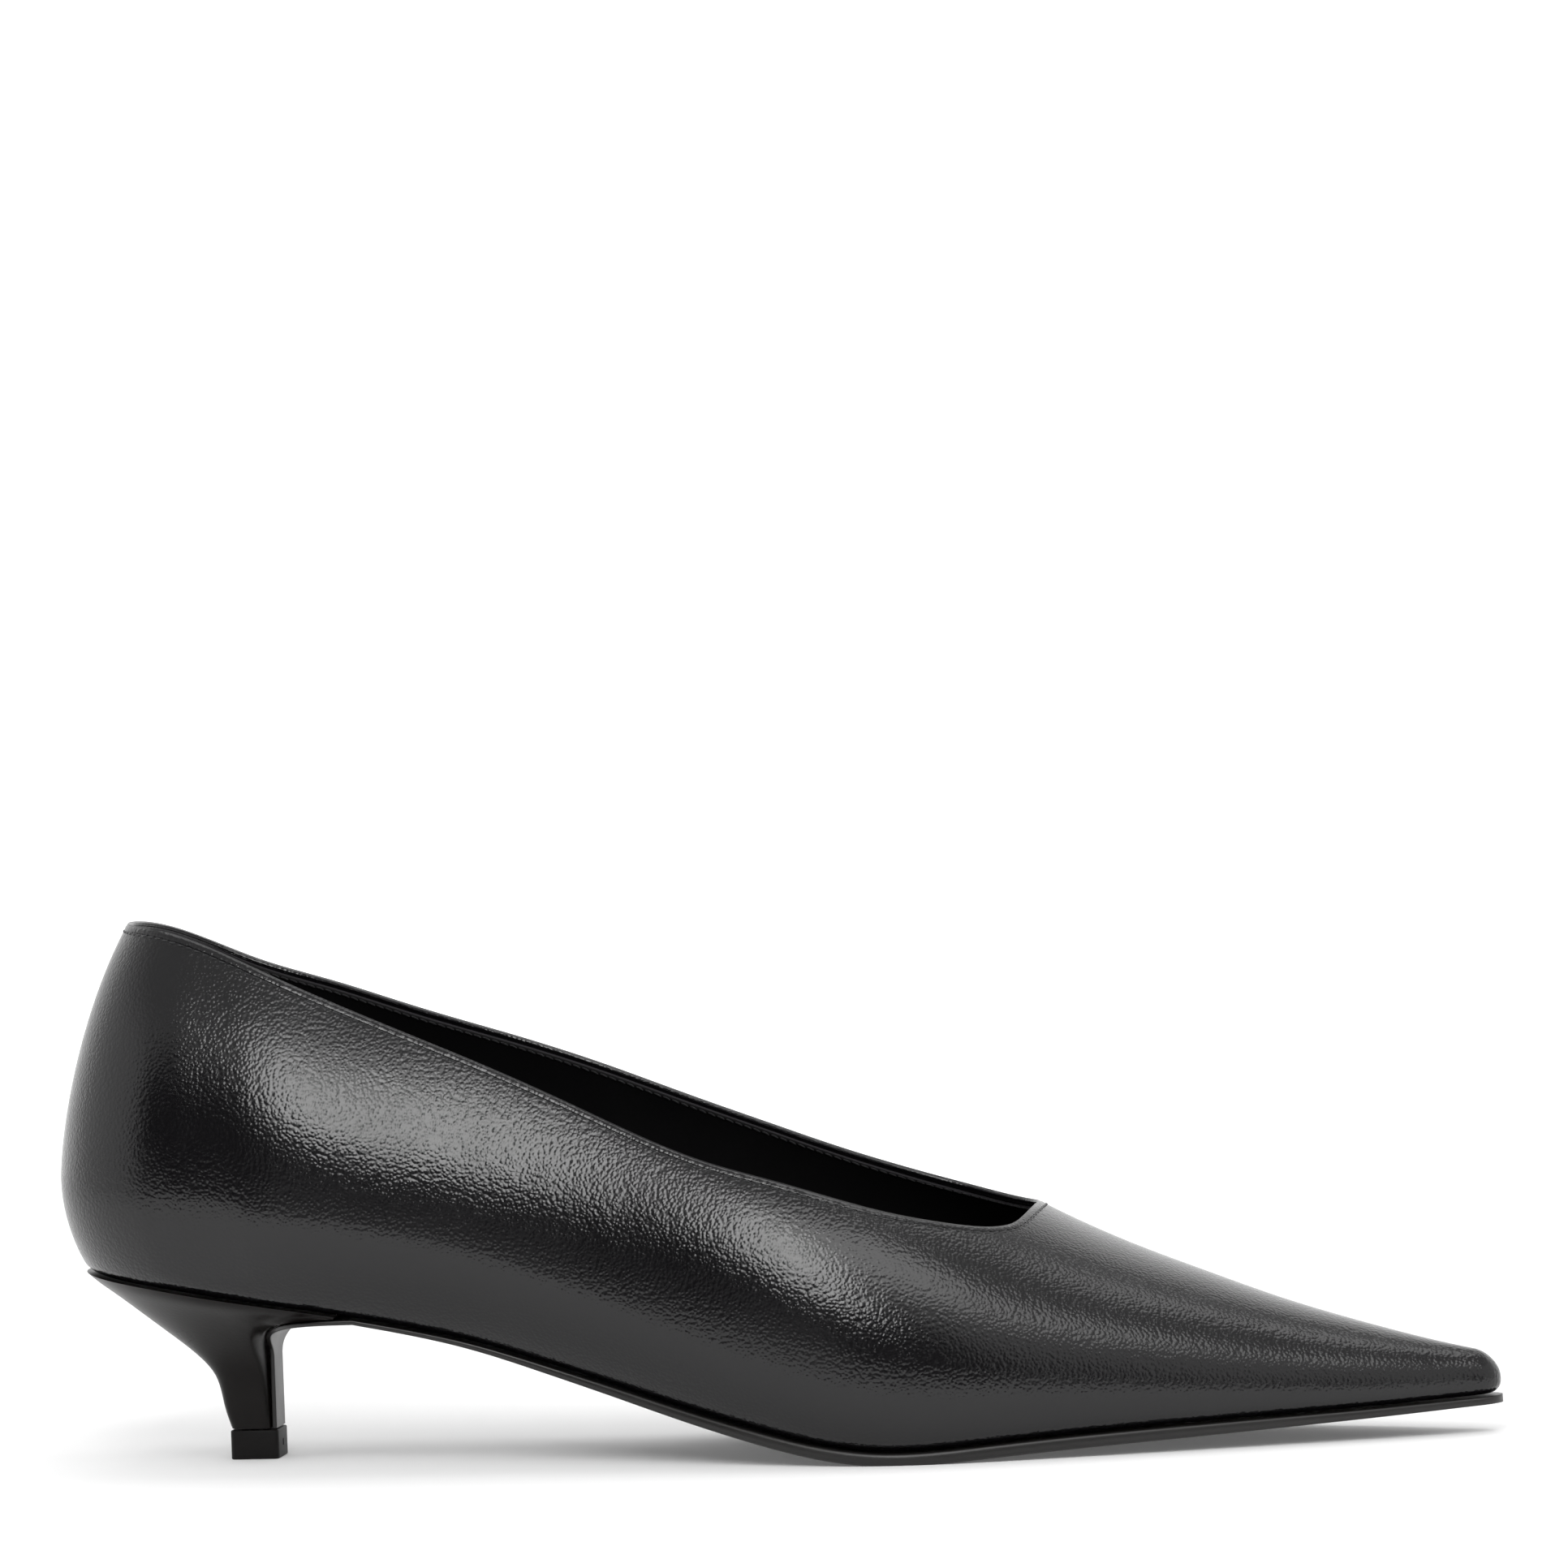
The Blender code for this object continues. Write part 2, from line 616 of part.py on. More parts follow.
def material(name, finish):
    """A Principled material with a base colour and a roughness."""
    colour, roughness = finish
    made = bpy.data.materials.new(name)
    made.use_nodes = True
    shader = made.node_tree.nodes["Principled BSDF"]
    shader.inputs["Base Color"].default_value = (*colour, 1)
    shader.inputs["Roughness"].default_value = roughness
    shader.inputs["Metallic"].default_value = 0.0
    made.diffuse_color = (*colour, 1)
    return made


def add_object(name, mesh_maker, finish, frame):
    """A named object from a bmesh, shaded smooth with its sharp edges kept, in the shoe's frame."""
    mesh = bpy.data.meshes.new(name)
    bmesh.ops.recalc_face_normals(mesh_maker, faces=mesh_maker.faces)
    mesh_maker.to_mesh(mesh)
    mesh_maker.free()
    mesh.shade_smooth()
    mesh.set_sharp_from_angle(angle=math.radians(40))
    mesh.materials.append(finish)
    made = bpy.data.objects.new(name, mesh)
    bpy.context.scene.collection.objects.link(made)
    made.parent = frame
    return made


def skin(maker, lines, closed):
    """Faces between neighbouring lines of points, and between the last and first if closed."""
    rows = [[maker.verts.new(point) for point in line] for line in lines]
    pairs = list(zip(rows, rows[1:]))
    if closed:
        pairs.append((rows[-1], rows[0]))
    for row, following in pairs:
        for i in range(len(row) - 1):
            maker.faces.new((row[i], row[i + 1], following[i + 1], following[i]))
    return rows


def loft(rings):
    """A closed solid through rings of equal length, with both ends filled."""
    maker = bmesh.new()
    rows = skin(maker, [ring + [ring[0]] for ring in rings], closed=False)
    bmesh.ops.remove_doubles(maker, verts=maker.verts, dist=0.001 * MM)
    for row in (rows[0], rows[-1]):
        ends = [vertex for vertex in row if vertex.is_valid]
        maker.faces.new(ends)
    return maker


def make_upper(frame, finish):
    """The hollow upper: its outer face as one skin, given its wall inwards."""
    maker = bmesh.new()
    skin(maker, [station.profile() for station in stations_round()], closed=True)
    bmesh.ops.remove_doubles(maker, verts=maker.verts, dist=0.001 * MM)
    upper = add_object("upper", maker, finish, frame)
    wall = upper.modifiers.new("wall", "SOLIDIFY")
    wall.thickness = WALL
    wall.offset = -1
    wall.use_even_offset = True
    wall.use_quality_normals = True
    return upper


def make_insole(frame, finish):
    """A thin board on the turned margin, inside the walls."""
    gap = WALL + 2 * CLEARANCE
    bottom, top = [], []
    for station in stations_round():
        reach = max(station.reach - gap, 0.4 * station.reach)
        lift = WALL + CLEARANCE
        bottom.append(station.under(reach, lift))
        top.append(station.under(reach, lift + INSOLE_THICKNESS))
    maker = bmesh.new()
    rows = skin(maker, [bottom + [bottom[0]], top + [top[0]]], closed=False)
    bmesh.ops.remove_doubles(maker, verts=maker.verts, dist=0.001 * MM)
    for row in rows:
        fill_across([vertex for vertex in row if vertex.is_valid], maker)
    return add_object("insole", maker, finish, frame)


def fill_across(ring, maker):
    """Faces across a ring that starts at the back, each joining points facing one another."""
    count = len(ring)
    for i in range(count // 2):
        corners = [ring[i], ring[i + 1], ring[(count - i - 1) % count], ring[(count - i) % count]]
        corners = list(dict.fromkeys(corners))
        if len(corners) > 2:
            maker.faces.new(corners)


def make_outsole(frame, finish):
    """The outsole, lofted along its path from the foot of the heel's front to the toe."""
    return add_object("outsole", loft(sole_sections()), finish, frame)


def make_heel(frame, finish):
    """The covered heel block, lofted from the top lift up to the seat."""
    levels = [0.0, 0.12, 0.24, 0.33, 0.41, 0.49, 0.57, 0.65, 0.73, 0.80, 0.86, 0.91, 0.95, 0.98, 1.0]
    maker = bmesh.new()
    rings = [heel_ring(level, 20, 6) for level in levels]
    rows = skin(maker, [ring + [ring[0]] for ring in rings], closed=False)
    bmesh.ops.remove_doubles(maker, verts=maker.verts, dist=0.001 * MM)
    for row in (rows[0], rows[-1]):
        ring = [vertex for vertex in row if vertex.is_valid]
        fill_pairs(ring, maker)
    return add_object("heel", maker, finish, frame)


def fill_pairs(ring, maker):
    """Faces across a ring that starts at a front corner and ends at the other."""
    count = len(ring)
    for i in range(count // 2):
        corners = [ring[i], ring[i + 1], ring[count - 2 - i], ring[count - 1 - i]]
        corners = list(dict.fromkeys(corners))
        if len(corners) > 2:
            maker.faces.new(corners)


def make_top_lift(frame, finish):
    """The top lift: a small block with round upright corners, flat on the floor."""
    maker = bmesh.new()
    bmesh.ops.create_cube(maker, size=1)
    bmesh.ops.scale(maker, vec=(LIFT_LENGTH, LIFT_WIDTH, LIFT_HEIGHT), verts=maker.verts)
    centre = Vector((LIFT_BACK + LIFT_LENGTH / 2, 0, LIFT_HEIGHT / 2))
    bmesh.ops.translate(maker, vec=centre, verts=maker.verts)
    upright = [e for e in maker.edges if abs(e.verts[0].co.z - e.verts[1].co.z) > 0.5 * LIFT_HEIGHT]
    bmesh.ops.bevel(
        maker,
        geom=upright,
        offset=0.11 * min(LIFT_LENGTH, LIFT_WIDTH),
        segments=4,
        profile=0.5,
        affect="EDGES",
        material=-1,
    )
    return add_object("top_lift", maker, finish, frame)


def centre_on_floor(frame, pieces):
    """Moves the shoe's frame so that the middle of its outline lies over the origin."""
    bpy.context.view_layer.update()
    corners = [piece.matrix_world @ Vector(corner) for piece in pieces for corner in piece.bound_box]
    middle_x = (min(c.x for c in corners) + max(c.x for c in corners)) / 2
    middle_y = (min(c.y for c in corners) + max(c.y for c in corners)) / 2
    frame.location = (-middle_x, -middle_y, 0)


def main():
    """Builds the shoe in an emptied scene."""
    for leftover in list(bpy.data.objects):
        bpy.data.objects.remove(leftover)
    frame = bpy.data.objects.new("shoe_frame", None)
    bpy.context.scene.collection.objects.link(frame)
    pieces = [
        make_upper(frame, material("black_leather", BLACK_LEATHER)),
        make_insole(frame, material("insole_leather", INSOLE_LEATHER)),
        make_outsole(frame, material("sole_leather", SOLE_LEATHER)),
        make_heel(frame, material("heel_leather", HEEL_LEATHER)),
        make_top_lift(frame, material("lift_rubber", LIFT_RUBBER)),
    ]
    centre_on_floor(frame, pieces)


main()
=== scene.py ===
"""Kitten heel pump, right shoe: its looks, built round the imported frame.

The leather is drawn over the same last as the part's solids, from the same named sizes, so that
every piece lies where its solid does. Only the heel's stem and flap stand 0.9 mm further forward.
Metres, +X to the toe, +Y to the inner side, +Z up.
"""

import logging
import math
from collections.abc import Callable, Sequence
from dataclasses import dataclass, field
from enum import Enum

import bmesh
import bpy
import numpy as np
from bmesh.types import BMesh, BMVert
from bpy.types import ID, Material, Mesh, Node, NodeSocket, NodeTree, Object
from mathutils import Matrix, Vector
from mathutils.bvhtree import BVHTree


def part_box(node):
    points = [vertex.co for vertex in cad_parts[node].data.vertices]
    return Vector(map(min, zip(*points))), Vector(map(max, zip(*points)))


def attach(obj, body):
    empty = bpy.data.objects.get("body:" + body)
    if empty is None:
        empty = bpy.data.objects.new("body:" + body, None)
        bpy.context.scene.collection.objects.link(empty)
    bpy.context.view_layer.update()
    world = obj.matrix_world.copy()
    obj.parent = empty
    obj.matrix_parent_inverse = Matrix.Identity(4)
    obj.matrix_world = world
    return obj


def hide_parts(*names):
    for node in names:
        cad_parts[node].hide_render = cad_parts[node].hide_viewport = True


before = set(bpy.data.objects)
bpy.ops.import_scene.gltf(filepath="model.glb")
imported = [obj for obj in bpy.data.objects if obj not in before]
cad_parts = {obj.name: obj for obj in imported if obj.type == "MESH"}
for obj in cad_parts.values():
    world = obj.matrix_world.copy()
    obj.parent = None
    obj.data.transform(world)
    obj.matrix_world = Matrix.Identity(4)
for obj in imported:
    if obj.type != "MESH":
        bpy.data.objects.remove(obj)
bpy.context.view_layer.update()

log = logging.getLogger("kitten_heel_pump")

MM = 0.001
WELD = 0.001 * MM
HALVINGS = 40
QUARTER = math.pi / 2
SHOE_MIDDLE = Vector((0, 0, 0.05))

# Bottom of the last: place, share of the heel's rise, share of the toe's
BOTTOM = (
    (0.000, 1.020, 0.00),
    (0.017, 1.000, 0.00),
    (0.075, 0.937, 0.00),
    (0.130, 0.862, 0.00),
    (0.190, 0.784, 0.00),
    (0.250, 0.692, 0.00),
    (0.300, 0.598, 0.00),
    (0.350, 0.478, 0.00),
    (0.400, 0.353, 0.00),
    (0.450, 0.230, 0.00),
    (0.500, 0.119, 0.00),
    (0.545, 0.035, 0.00),
    (0.590, -0.006, 0.00),
    (0.650, -0.006, 0.12),
    (0.700, 0.000, 0.25),
    (0.750, 0.000, 0.37),
    (0.833, 0.000, 0.51),
    (0.910, 0.000, 0.63),
    (1.000, 0.000, 0.82),
)

# Plan of the feather line: place, half width, middle and crest line, shares of the ball width
OUTLINE = (
    (0.116, 0.333, 0.000, 0.000),
    (0.170, 0.321, -0.009, -0.004),
    (0.220, 0.295, -0.022, -0.004),
    (0.280, 0.264, -0.040, 0.000),
    (0.340, 0.260, -0.054, 0.015),
    (0.400, 0.291, -0.060, 0.040),
    (0.460, 0.352, -0.056, 0.070),
    (0.520, 0.427, -0.036, 0.095),
    (0.570, 0.477, -0.012, 0.108),
    (0.620, 0.493, 0.012, 0.112),
    (0.670, 0.470, 0.030, 0.108),
    (0.720, 0.420, 0.037, 0.096),
    (0.800, 0.321, 0.039, 0.074),
    (0.880, 0.214, 0.040, 0.055),
    (0.940, 0.131, 0.041, 0.045),
)

# Walls: place, swell of the outer and inner side (shares of the ball width), widest line and
# crest (shares of the quarter height), exponent of the curve between them
WALLS = (
    (0.000, 0.070, 0.070, 0.270, 1.270, 1.48),
    (0.017, 0.070, 0.070, 0.270, 1.280, 1.50),
    (0.116, 0.085, 0.080, 0.275, 1.298, 1.75),
    (0.145, 0.102, 0.090, 0.280, 1.280, 1.75),
    (0.220, 0.125, 0.115, 0.285, 1.150, 1.75),
    (0.330, 0.125, 0.135, 0.280, 1.055, 1.80),
    (0.430, 0.100, 0.115, 0.250, 0.985, 1.95),
    (0.510, 0.072, 0.080, 0.218, 0.935, 2.05),
    (0.580, 0.052, 0.054, 0.192, 0.862, 2.10),
    (0.634, 0.043, 0.044, 0.172, 0.748, 2.05),
    (0.687, 0.036, 0.036, 0.148, 0.614, 2.00),
    (0.741, 0.030, 0.030, 0.122, 0.495, 2.00),
    (0.797, 0.024, 0.024, 0.098, 0.394, 2.00),
    (0.852, 0.018, 0.018, 0.076, 0.302, 2.00),
    (0.908, 0.012, 0.012, 0.058, 0.222, 2.00),
    (0.963, 0.006, 0.006, 0.046, 0.151, 2.00),
    (1.000, 0.004, 0.004, 0.042, 0.110, 2.00),
)

# Top line: place, height on the outer and on the inner side, shares of the quarter height
TOPLINE = (
    (0.000, 1.010, 1.010),
    (0.057, 1.028, 1.028),
    (0.091, 1.034, 0.990),
    (0.127, 1.008, 0.948),
    (0.181, 0.938, 0.914),
    (0.236, 0.875, 0.884),
    (0.290, 0.827, 0.866),
    (0.362, 0.781, 0.859),
    (0.417, 0.744, 0.841),
    (0.471, 0.720, 0.815),
    (0.525, 0.712, 0.780),
    (0.580, 0.677, 0.734),
    (0.634, 0.618, 0.668),
    (0.655, 0.596, 0.642),
    (0.668, 0.590, 0.631),
    (0.676, 0.599, 0.627),
    (0.683, 0.627, 0.627),
    (0.692, 0.652, 0.652),
    (0.760, 0.700, 0.700),
)

# Outsole: place and share of its thickness
SOLE = (
    (0.200, 0.36),
    (0.245, 0.38),
    (0.300, 0.46),
    (0.350, 0.60),
    (0.405, 0.74),
    (0.460, 0.88),
    (0.530, 1.00),
    (0.600, 1.00),
    (0.750, 1.00),
    (0.833, 0.88),
    (0.910, 0.72),
    (1.000, 0.60),
)

# Heel: level, flare of its back, flare of its sides, squareness of its plan
HEEL = (
    (0.00, 0.000, 0.000, 4.5),
    (0.15, 0.046, 0.030, 4.2),
    (0.30, 0.080, 0.055, 3.6),
    (0.40, 0.125, 0.095, 3.2),
    (0.50, 0.220, 0.175, 2.8),
    (0.60, 0.356, 0.300, 2.5),
    (0.70, 0.510, 0.455, 2.3),
    (0.80, 0.665, 0.630, 2.2),
    (0.90, 0.830, 0.830, 2.1),
    (0.96, 0.940, 0.950, 2.0),
    (1.00, 1.000, 1.000, 2.0),
)


class Side(Enum):
    """A side of the shoe, with the direction of its y."""

    LATERAL = -1
    MEDIAL = 1


class Slot(Enum):
    """The record's material slots."""

    UPPER = "upper_leather"
    INSOLE = "insole_leather"
    SOLE = "sole_leather"
    HEEL = "heel_leather"
    LIFT = "lift_rubber"


class Curve:
    """A smooth line through (place, value) rows: a cubic spline with relaxed ends."""

    def __init__(
        self, places: Sequence[float], values: Sequence[float], last_slope: float | None = None
    ) -> None:
        """Works out the bends of the spline.

        Args:
            places: rising places of the rows.
            values: value at each place.
            last_slope: slope at the last row, or None for a relaxed end.
        """
        self.places = np.array(places, float)
        self.values = np.array(values, float)
        count = len(self.places)
        step = np.diff(self.places)
        rise = np.diff(self.values) / step
        system = np.zeros((count, count))
        wanted = np.zeros(count)
        system[0, 0] = system[-1, -1] = 1.0
        for i in range(1, count - 1):
            system[i, i - 1] = step[i - 1]
            system[i, i] = 2 * (step[i - 1] + step[i])
            system[i, i + 1] = step[i]
            wanted[i] = 6 * (rise[i] - rise[i - 1])
        if last_slope is not None:
            system[-1, -2] = step[-1]
            system[-1, -1] = 2 * step[-1]
            wanted[-1] = 6 * (last_slope - rise[-1])
        self.bend = np.linalg.solve(system, wanted)

    def __call__(self, place: float) -> float:
        """The line's value at a place, which is kept between the first and last rows."""
        place = min(max(place, self.places[0]), self.places[-1])
        i = int(np.searchsorted(self.places, place)) - 1
        i = min(max(i, 0), len(self.places) - 2)
        step = self.places[i + 1] - self.places[i]
        before = (self.places[i + 1] - place) / step
        after = 1 - before
        curve = (before**3 - before) * self.bend[i] + (after**3 - after) * self.bend[i + 1]
        return float(before * self.values[i] + after * self.values[i + 1] + curve * step**2 / 6)


def solve(function: Callable[[float], float], low: float, high: float) -> float:
    """The place between low and high where the rising function crosses zero."""
    for _ in range(HALVINGS):
        middle = (low + high) / 2
        if function(middle) < 0:
            low = middle
        else:
            high = middle
    return (low + high) / 2


@dataclass(frozen=True)
class ShoeSizes:
    """Named sizes of the last and the shoe, as in the part's source but for the heel's stem.

    The stem is longer by 0.9 mm and its front wider (stem_length, stem_front_share), as the
    photograph shows it.
    """

    shoe_length: float = 275.5 * MM
    ball_width: float = 72 * MM
    heel_height: float = 37 * MM
    toe_spring: float = 5.6 * MM
    quarter_height: float = 66 * MM
    counter_out: float = 4.7 * MM
    toe_radius: float = 4.5 * MM
    toe_angle: float = math.radians(21)
    wall: float = 1.5 * MM
    margin: float = 8 * MM
    feather_radius: float = 2 * MM
    insole_thickness: float = 1.8 * MM
    sole_thickness: float = 2.5 * MM
    flap_thickness: float = 0.9 * MM
    edge_out: float = 0.6 * MM
    heel_edge_out: float = 0.4 * MM
    lift_length: float = 9.4 * MM
    lift_width: float = 9.6 * MM
    lift_height: float = 5.6 * MM
    stem_length: float = 9.1 * MM
    lift_back: float = 31.7 * MM
    breast_straight: float = 14 * MM
    clearance: float = 0.3 * MM
    heel_centre: float = 0.116
    sole_join: float = 0.218
    wing_tip: float = 0.205
    toe_centre_share: float = 0.042
    arch_power: float = 3.2
    front_flare_power: float = 1.8
    stem_front_share: float = 0.44
    throat_limit: float = 0.76
    side_blend_share: float = 0.14


class Last:
    """The shape that the leather is drawn over, and the places that the other pieces share."""

    def __init__(self, sizes: ShoeSizes) -> None:
        """Turns the tables of shares into curves over x.

        Args:
            sizes: the named sizes of the shoe.
        """
        self.sizes = s = sizes
        rise = s.heel_height - s.sole_thickness
        self.bottom_base = s.sole_thickness + s.clearance
        self.pitch = self.curve(BOTTOM, 1, rise)
        self.spring = self.curve(BOTTOM, 2, s.toe_spring)
        self.nose_x = s.shoe_length - s.edge_out - s.toe_radius
        self.nose_y = s.toe_centre_share * s.ball_width
        self.heel_x = s.heel_centre * s.shoe_length
        places = [row[0] * s.shoe_length for row in OUTLINE] + [self.nose_x]
        tip_half = s.toe_radius / math.cos(s.toe_angle)
        halves = [row[1] * s.ball_width for row in OUTLINE] + [tip_half]
        self.half_width = Curve(places, halves, last_slope=-math.tan(s.toe_angle))
        self.middle = Curve(places, [row[2] * s.ball_width for row in OUTLINE] + [self.nose_y])
        self.crest_line = Curve(places, [row[3] * s.ball_width for row in OUTLINE] + [self.nose_y])
        self.swell = {
            Side.LATERAL: self.curve(WALLS, 1, s.ball_width),
            Side.MEDIAL: self.curve(WALLS, 2, s.ball_width),
        }
        self.wide = self.curve(WALLS, 3, s.quarter_height)
        self.crest = self.curve(WALLS, 4, s.quarter_height)
        self.roundness = self.curve(WALLS, 5, 1)
        self.top_lateral = self.curve(TOPLINE, 1, s.quarter_height)
        self.top_medial = self.curve(TOPLINE, 2, s.quarter_height)
        self.skive = self.curve(SOLE, 1, s.sole_thickness)
        levels = [row[0] for row in HEEL]
        self.heel_back = Curve(levels, [row[1] for row in HEEL])
        self.heel_flare = Curve(levels, [row[2] for row in HEEL])
        self.heel_square = Curve(levels, [row[3] for row in HEEL])
        self.breast_x = s.lift_back + s.stem_length - s.flap_thickness
        self.breast_bottom = s.lift_height + s.clearance
        self.arch_start = self.breast_bottom + s.breast_straight
        self.join_x = s.sole_join * s.shoe_length
        self.join_height = self.feather_height(self.join_x) - s.clearance

    def curve(self, rows: Sequence[Sequence[float]], column: int, unit: float) -> Curve:
        """A column of a table as a curve over x in metres, its shares turned to sizes."""
        places = [row[0] * self.sizes.shoe_length for row in rows]
        return Curve(places, [row[column] * unit for row in rows])

    def feather_height(self, x: float) -> float:
        """Height of the upper's underside at its feather line."""
        return self.bottom_base + self.pitch(x) + self.spring(x)

    def crest_height(self, x: float) -> float:
        """Height of the last's crest over the floor."""
        return self.feather_height(x) + self.crest(x)

    def cut_height(self, x: float, y: float) -> float:
        """Height over the floor at which the top line is cut."""
        across = (y - self.crest_line(x)) / (self.sizes.side_blend_share * self.sizes.ball_width)
        share = (1 + math.tanh(across)) / 2
        return self.feather_height(x) + self.top_lateral(x) * (1 - share) + self.top_medial(x) * share

    def throat_x(self, drop: float) -> float:
        """Where the top line, lowered by a drop, meets the crest."""

        def over(x: float) -> float:
            return self.cut_height(x, self.crest_line(x)) - drop - self.crest_height(x)

        return solve(over, self.heel_x, self.sizes.throat_limit * self.sizes.shoe_length)

    def plan_edges(self, x: float, out: float) -> tuple[float, float]:
        """Lateral and medial y of the feather line, moved out by a distance."""
        s = self.sizes
        if x > self.nose_x:
            ahead, radius = x - self.nose_x, s.toe_radius + out
            if ahead < radius * math.sin(s.toe_angle):
                half = radius / math.cos(s.toe_angle) - ahead * math.tan(s.toe_angle)
            else:
                half = math.sqrt(max(radius**2 - ahead**2, 0.0))
            return self.nose_y - half, self.nose_y + half
        if x < self.heel_x:
            behind = (self.heel_x - x) / (self.heel_x - s.counter_out + out)
            half = (self.half_width(self.heel_x) + out) * math.sqrt(max(1 - behind**2, 0.0))
            return -half, half
        slope = (self.half_width(x + MM) - self.half_width(x - MM)) / (2 * MM)
        half = self.half_width(x) + out * math.hypot(1, slope)
        return self.middle(x) - half, self.middle(x) + half

    def arch_point(self, angle: float, gap: float) -> tuple[float, float]:
        """The curve between the heel's front and the waist, moved towards the heel by a gap."""
        length = self.join_x - self.breast_x + gap
        rise = self.join_height - self.arch_start + gap
        across = math.cos(angle) ** (2 / self.sizes.arch_power)
        climb = math.sin(angle) ** (2 / self.sizes.arch_power)
        return self.join_x - length * across, self.arch_start + rise * climb

    def front_half_width(self, x: float, z: float, side: Side) -> float:
        """Half width of the heel and of the outsole on its front, at a point of that front."""
        lateral, medial = self.plan_edges(x, self.sizes.heel_edge_out)
        seat = -lateral if side is Side.LATERAL else medial
        stem = self.sizes.stem_front_share * self.sizes.lift_width
        climb = min(max((z - self.arch_start) / (self.join_height - self.arch_start), 0.0), 1.0)
        return stem + (seat - stem) * climb**self.sizes.front_flare_power


class Station:
    """One section of the last, from its crest out to the feather line on one side."""

    def __init__(self, last: Last, centre: Vector, direction: Vector, reach: float, out: float) -> None:
        """Places the section.

        Args:
            last: the last that it cuts.
            centre: its place on the crest line, in plan.
            direction: unit direction from the crest line outwards, in plan.
            reach: distance out to the feather line.
            out: how far the wall's widest line stands out past the feather line.
        """
        self.last, self.centre, self.direction = last, centre, direction
        self.reach, self.out = reach, out
        feather_x = centre.x + direction.x * reach
        self.base = last.feather_height(feather_x)
        self.wide = last.wide(feather_x)
        self.crest = last.crest_height(centre.x) - self.base
        self.power = 2 / last.roundness(feather_x)
        self.tilt = (last.crest_height(centre.x + MM) - last.crest_height(centre.x - MM)) / (2 * MM)

    def point(self, distance: float, height: float) -> Vector:
        """A point of the wall: that far out from the crest line, over the feather line."""
        plan = self.centre + self.direction * distance
        return Vector((plan.x, plan.y, self.base + height))

    def under(self, distance: float, height: float) -> Vector:
        """A point of the bottom: that far out, over the last's bottom just there."""
        plan = self.centre + self.direction * distance
        return Vector((plan.x, plan.y, self.last.feather_height(plan.x) + height))

    def lower(self, height: float) -> float:
        """Distance out of the wall below its widest line: a parabola to the feather line."""
        return self.reach + self.out * (1 - (1 - height / self.wide) ** 2)

    def upper(self, turn: float) -> Vector:
        """A point of the wall above its widest line (turn 0), up to the crest (a quarter turn)."""
        across = math.cos(turn) ** self.power if turn < QUARTER else 0.0
        climb = math.sin(turn) ** self.power
        distance = (self.reach + self.out) * across
        slant = self.tilt * distance * self.direction.x * climb
        return self.point(distance, self.wide + (self.crest - self.wide) * climb + slant)

    def top_turn(self, throat: float, drop: float) -> float:
        """Where the top line cuts this section, or the crest if it passes ahead of the throat.

        Args:
            throat: x of the throat's front.
            drop: how far the top line is lowered.

        Returns:
            The turn for upper().
        """

        def over(turn: float) -> float:
            place = self.upper(turn)
            return place.z - self.last.cut_height(place.x, place.y) + drop

        if self.centre.x >= throat or over(QUARTER) < 0:
            return QUARTER
        return solve(over, 0.0, QUARTER)


@dataclass(frozen=True)
class Fineness:
    """How many sections and rows the leather's mesh has."""

    heel: int = 26
    side: int = 96
    throat: int = 26
    vamp: int = 52
    nose: int = 12
    margin: int = 3
    corner: int = 6
    lower: int = 9
    upper: int = 38


@dataclass(frozen=True)
class Dent:
    """A soft trough or ridge in the leather, along a short line, in the shoe's own sizes."""

    start: Vector
    end: Vector
    width: float
    depth: float

    def lift(self, place: Vector) -> float:
        """How far the leather moves out at a place, which is negative in a trough."""
        line = self.end - self.start
        along = (place - self.start).dot(line) / line.length_squared
        nearest = self.start + line * min(max(along, 0.0), 1.0)
        beside = (place - nearest).length / self.width
        return -self.depth * math.exp(-(beside**2)) if beside < 3 else 0.0


def grid_over(
    lines: Sequence[Sequence[Vector]], uv: Callable[[int, int], tuple[float, float]] | None = None
) -> BMesh:
    """A grid laid over equally long lines of points, and welded where they meet.

    Args:
        lines: the lines of points, side by side.
        uv: gives the UV of the point j of line i, or None for shares of the grid.

    Returns:
        The bmesh, with a UV map.
    """
    maker = bmesh.new()
    across, along = len(lines) - 1, len(lines[0]) - 1
    bmesh.ops.create_grid(maker, x_segments=across, y_segments=along, size=0.5, calc_uvs=False)
    layer = maker.loops.layers.uv.new("UVMap")
    cells = {v: (round((v.co.x + 0.5) * across), round((v.co.y + 0.5) * along)) for v in maker.verts}
    for face in maker.faces:
        for loop in face.loops:
            i, j = cells[loop.vert]
            loop[layer].uv = uv(i, j) if uv else (i / across, j / along)
    for vertex, (i, j) in cells.items():
        vertex.co = lines[i][j]
    bmesh.ops.remove_doubles(maker, verts=maker.verts, dist=WELD)
    bmesh.ops.dissolve_degenerate(maker, edges=maker.edges, dist=WELD)
    bmesh.ops.recalc_face_normals(maker, faces=maker.faces)
    maker.normal_update()
    return maker


def capped(rings: Sequence[Sequence[Vector]]) -> BMesh:
    """A closed body through closed rings of points, with its two ends filled."""
    maker = grid_over(rings)
    bmesh.ops.holes_fill(maker, edges=maker.edges, sides=0)
    bmesh.ops.recalc_face_normals(maker, faces=maker.faces)
    return maker


def facing_out(maker: BMesh) -> BMesh:
    """Turns an open shell so that its faces point away from its middle."""
    middle = sum((v.co for v in maker.verts), Vector()) / len(maker.verts)
    if sum((f.calc_center_median() - middle).dot(f.normal) * f.calc_area() for f in maker.faces) < 0:
        bmesh.ops.reverse_faces(maker, faces=maker.faces)
        maker.normal_update()
    return maker


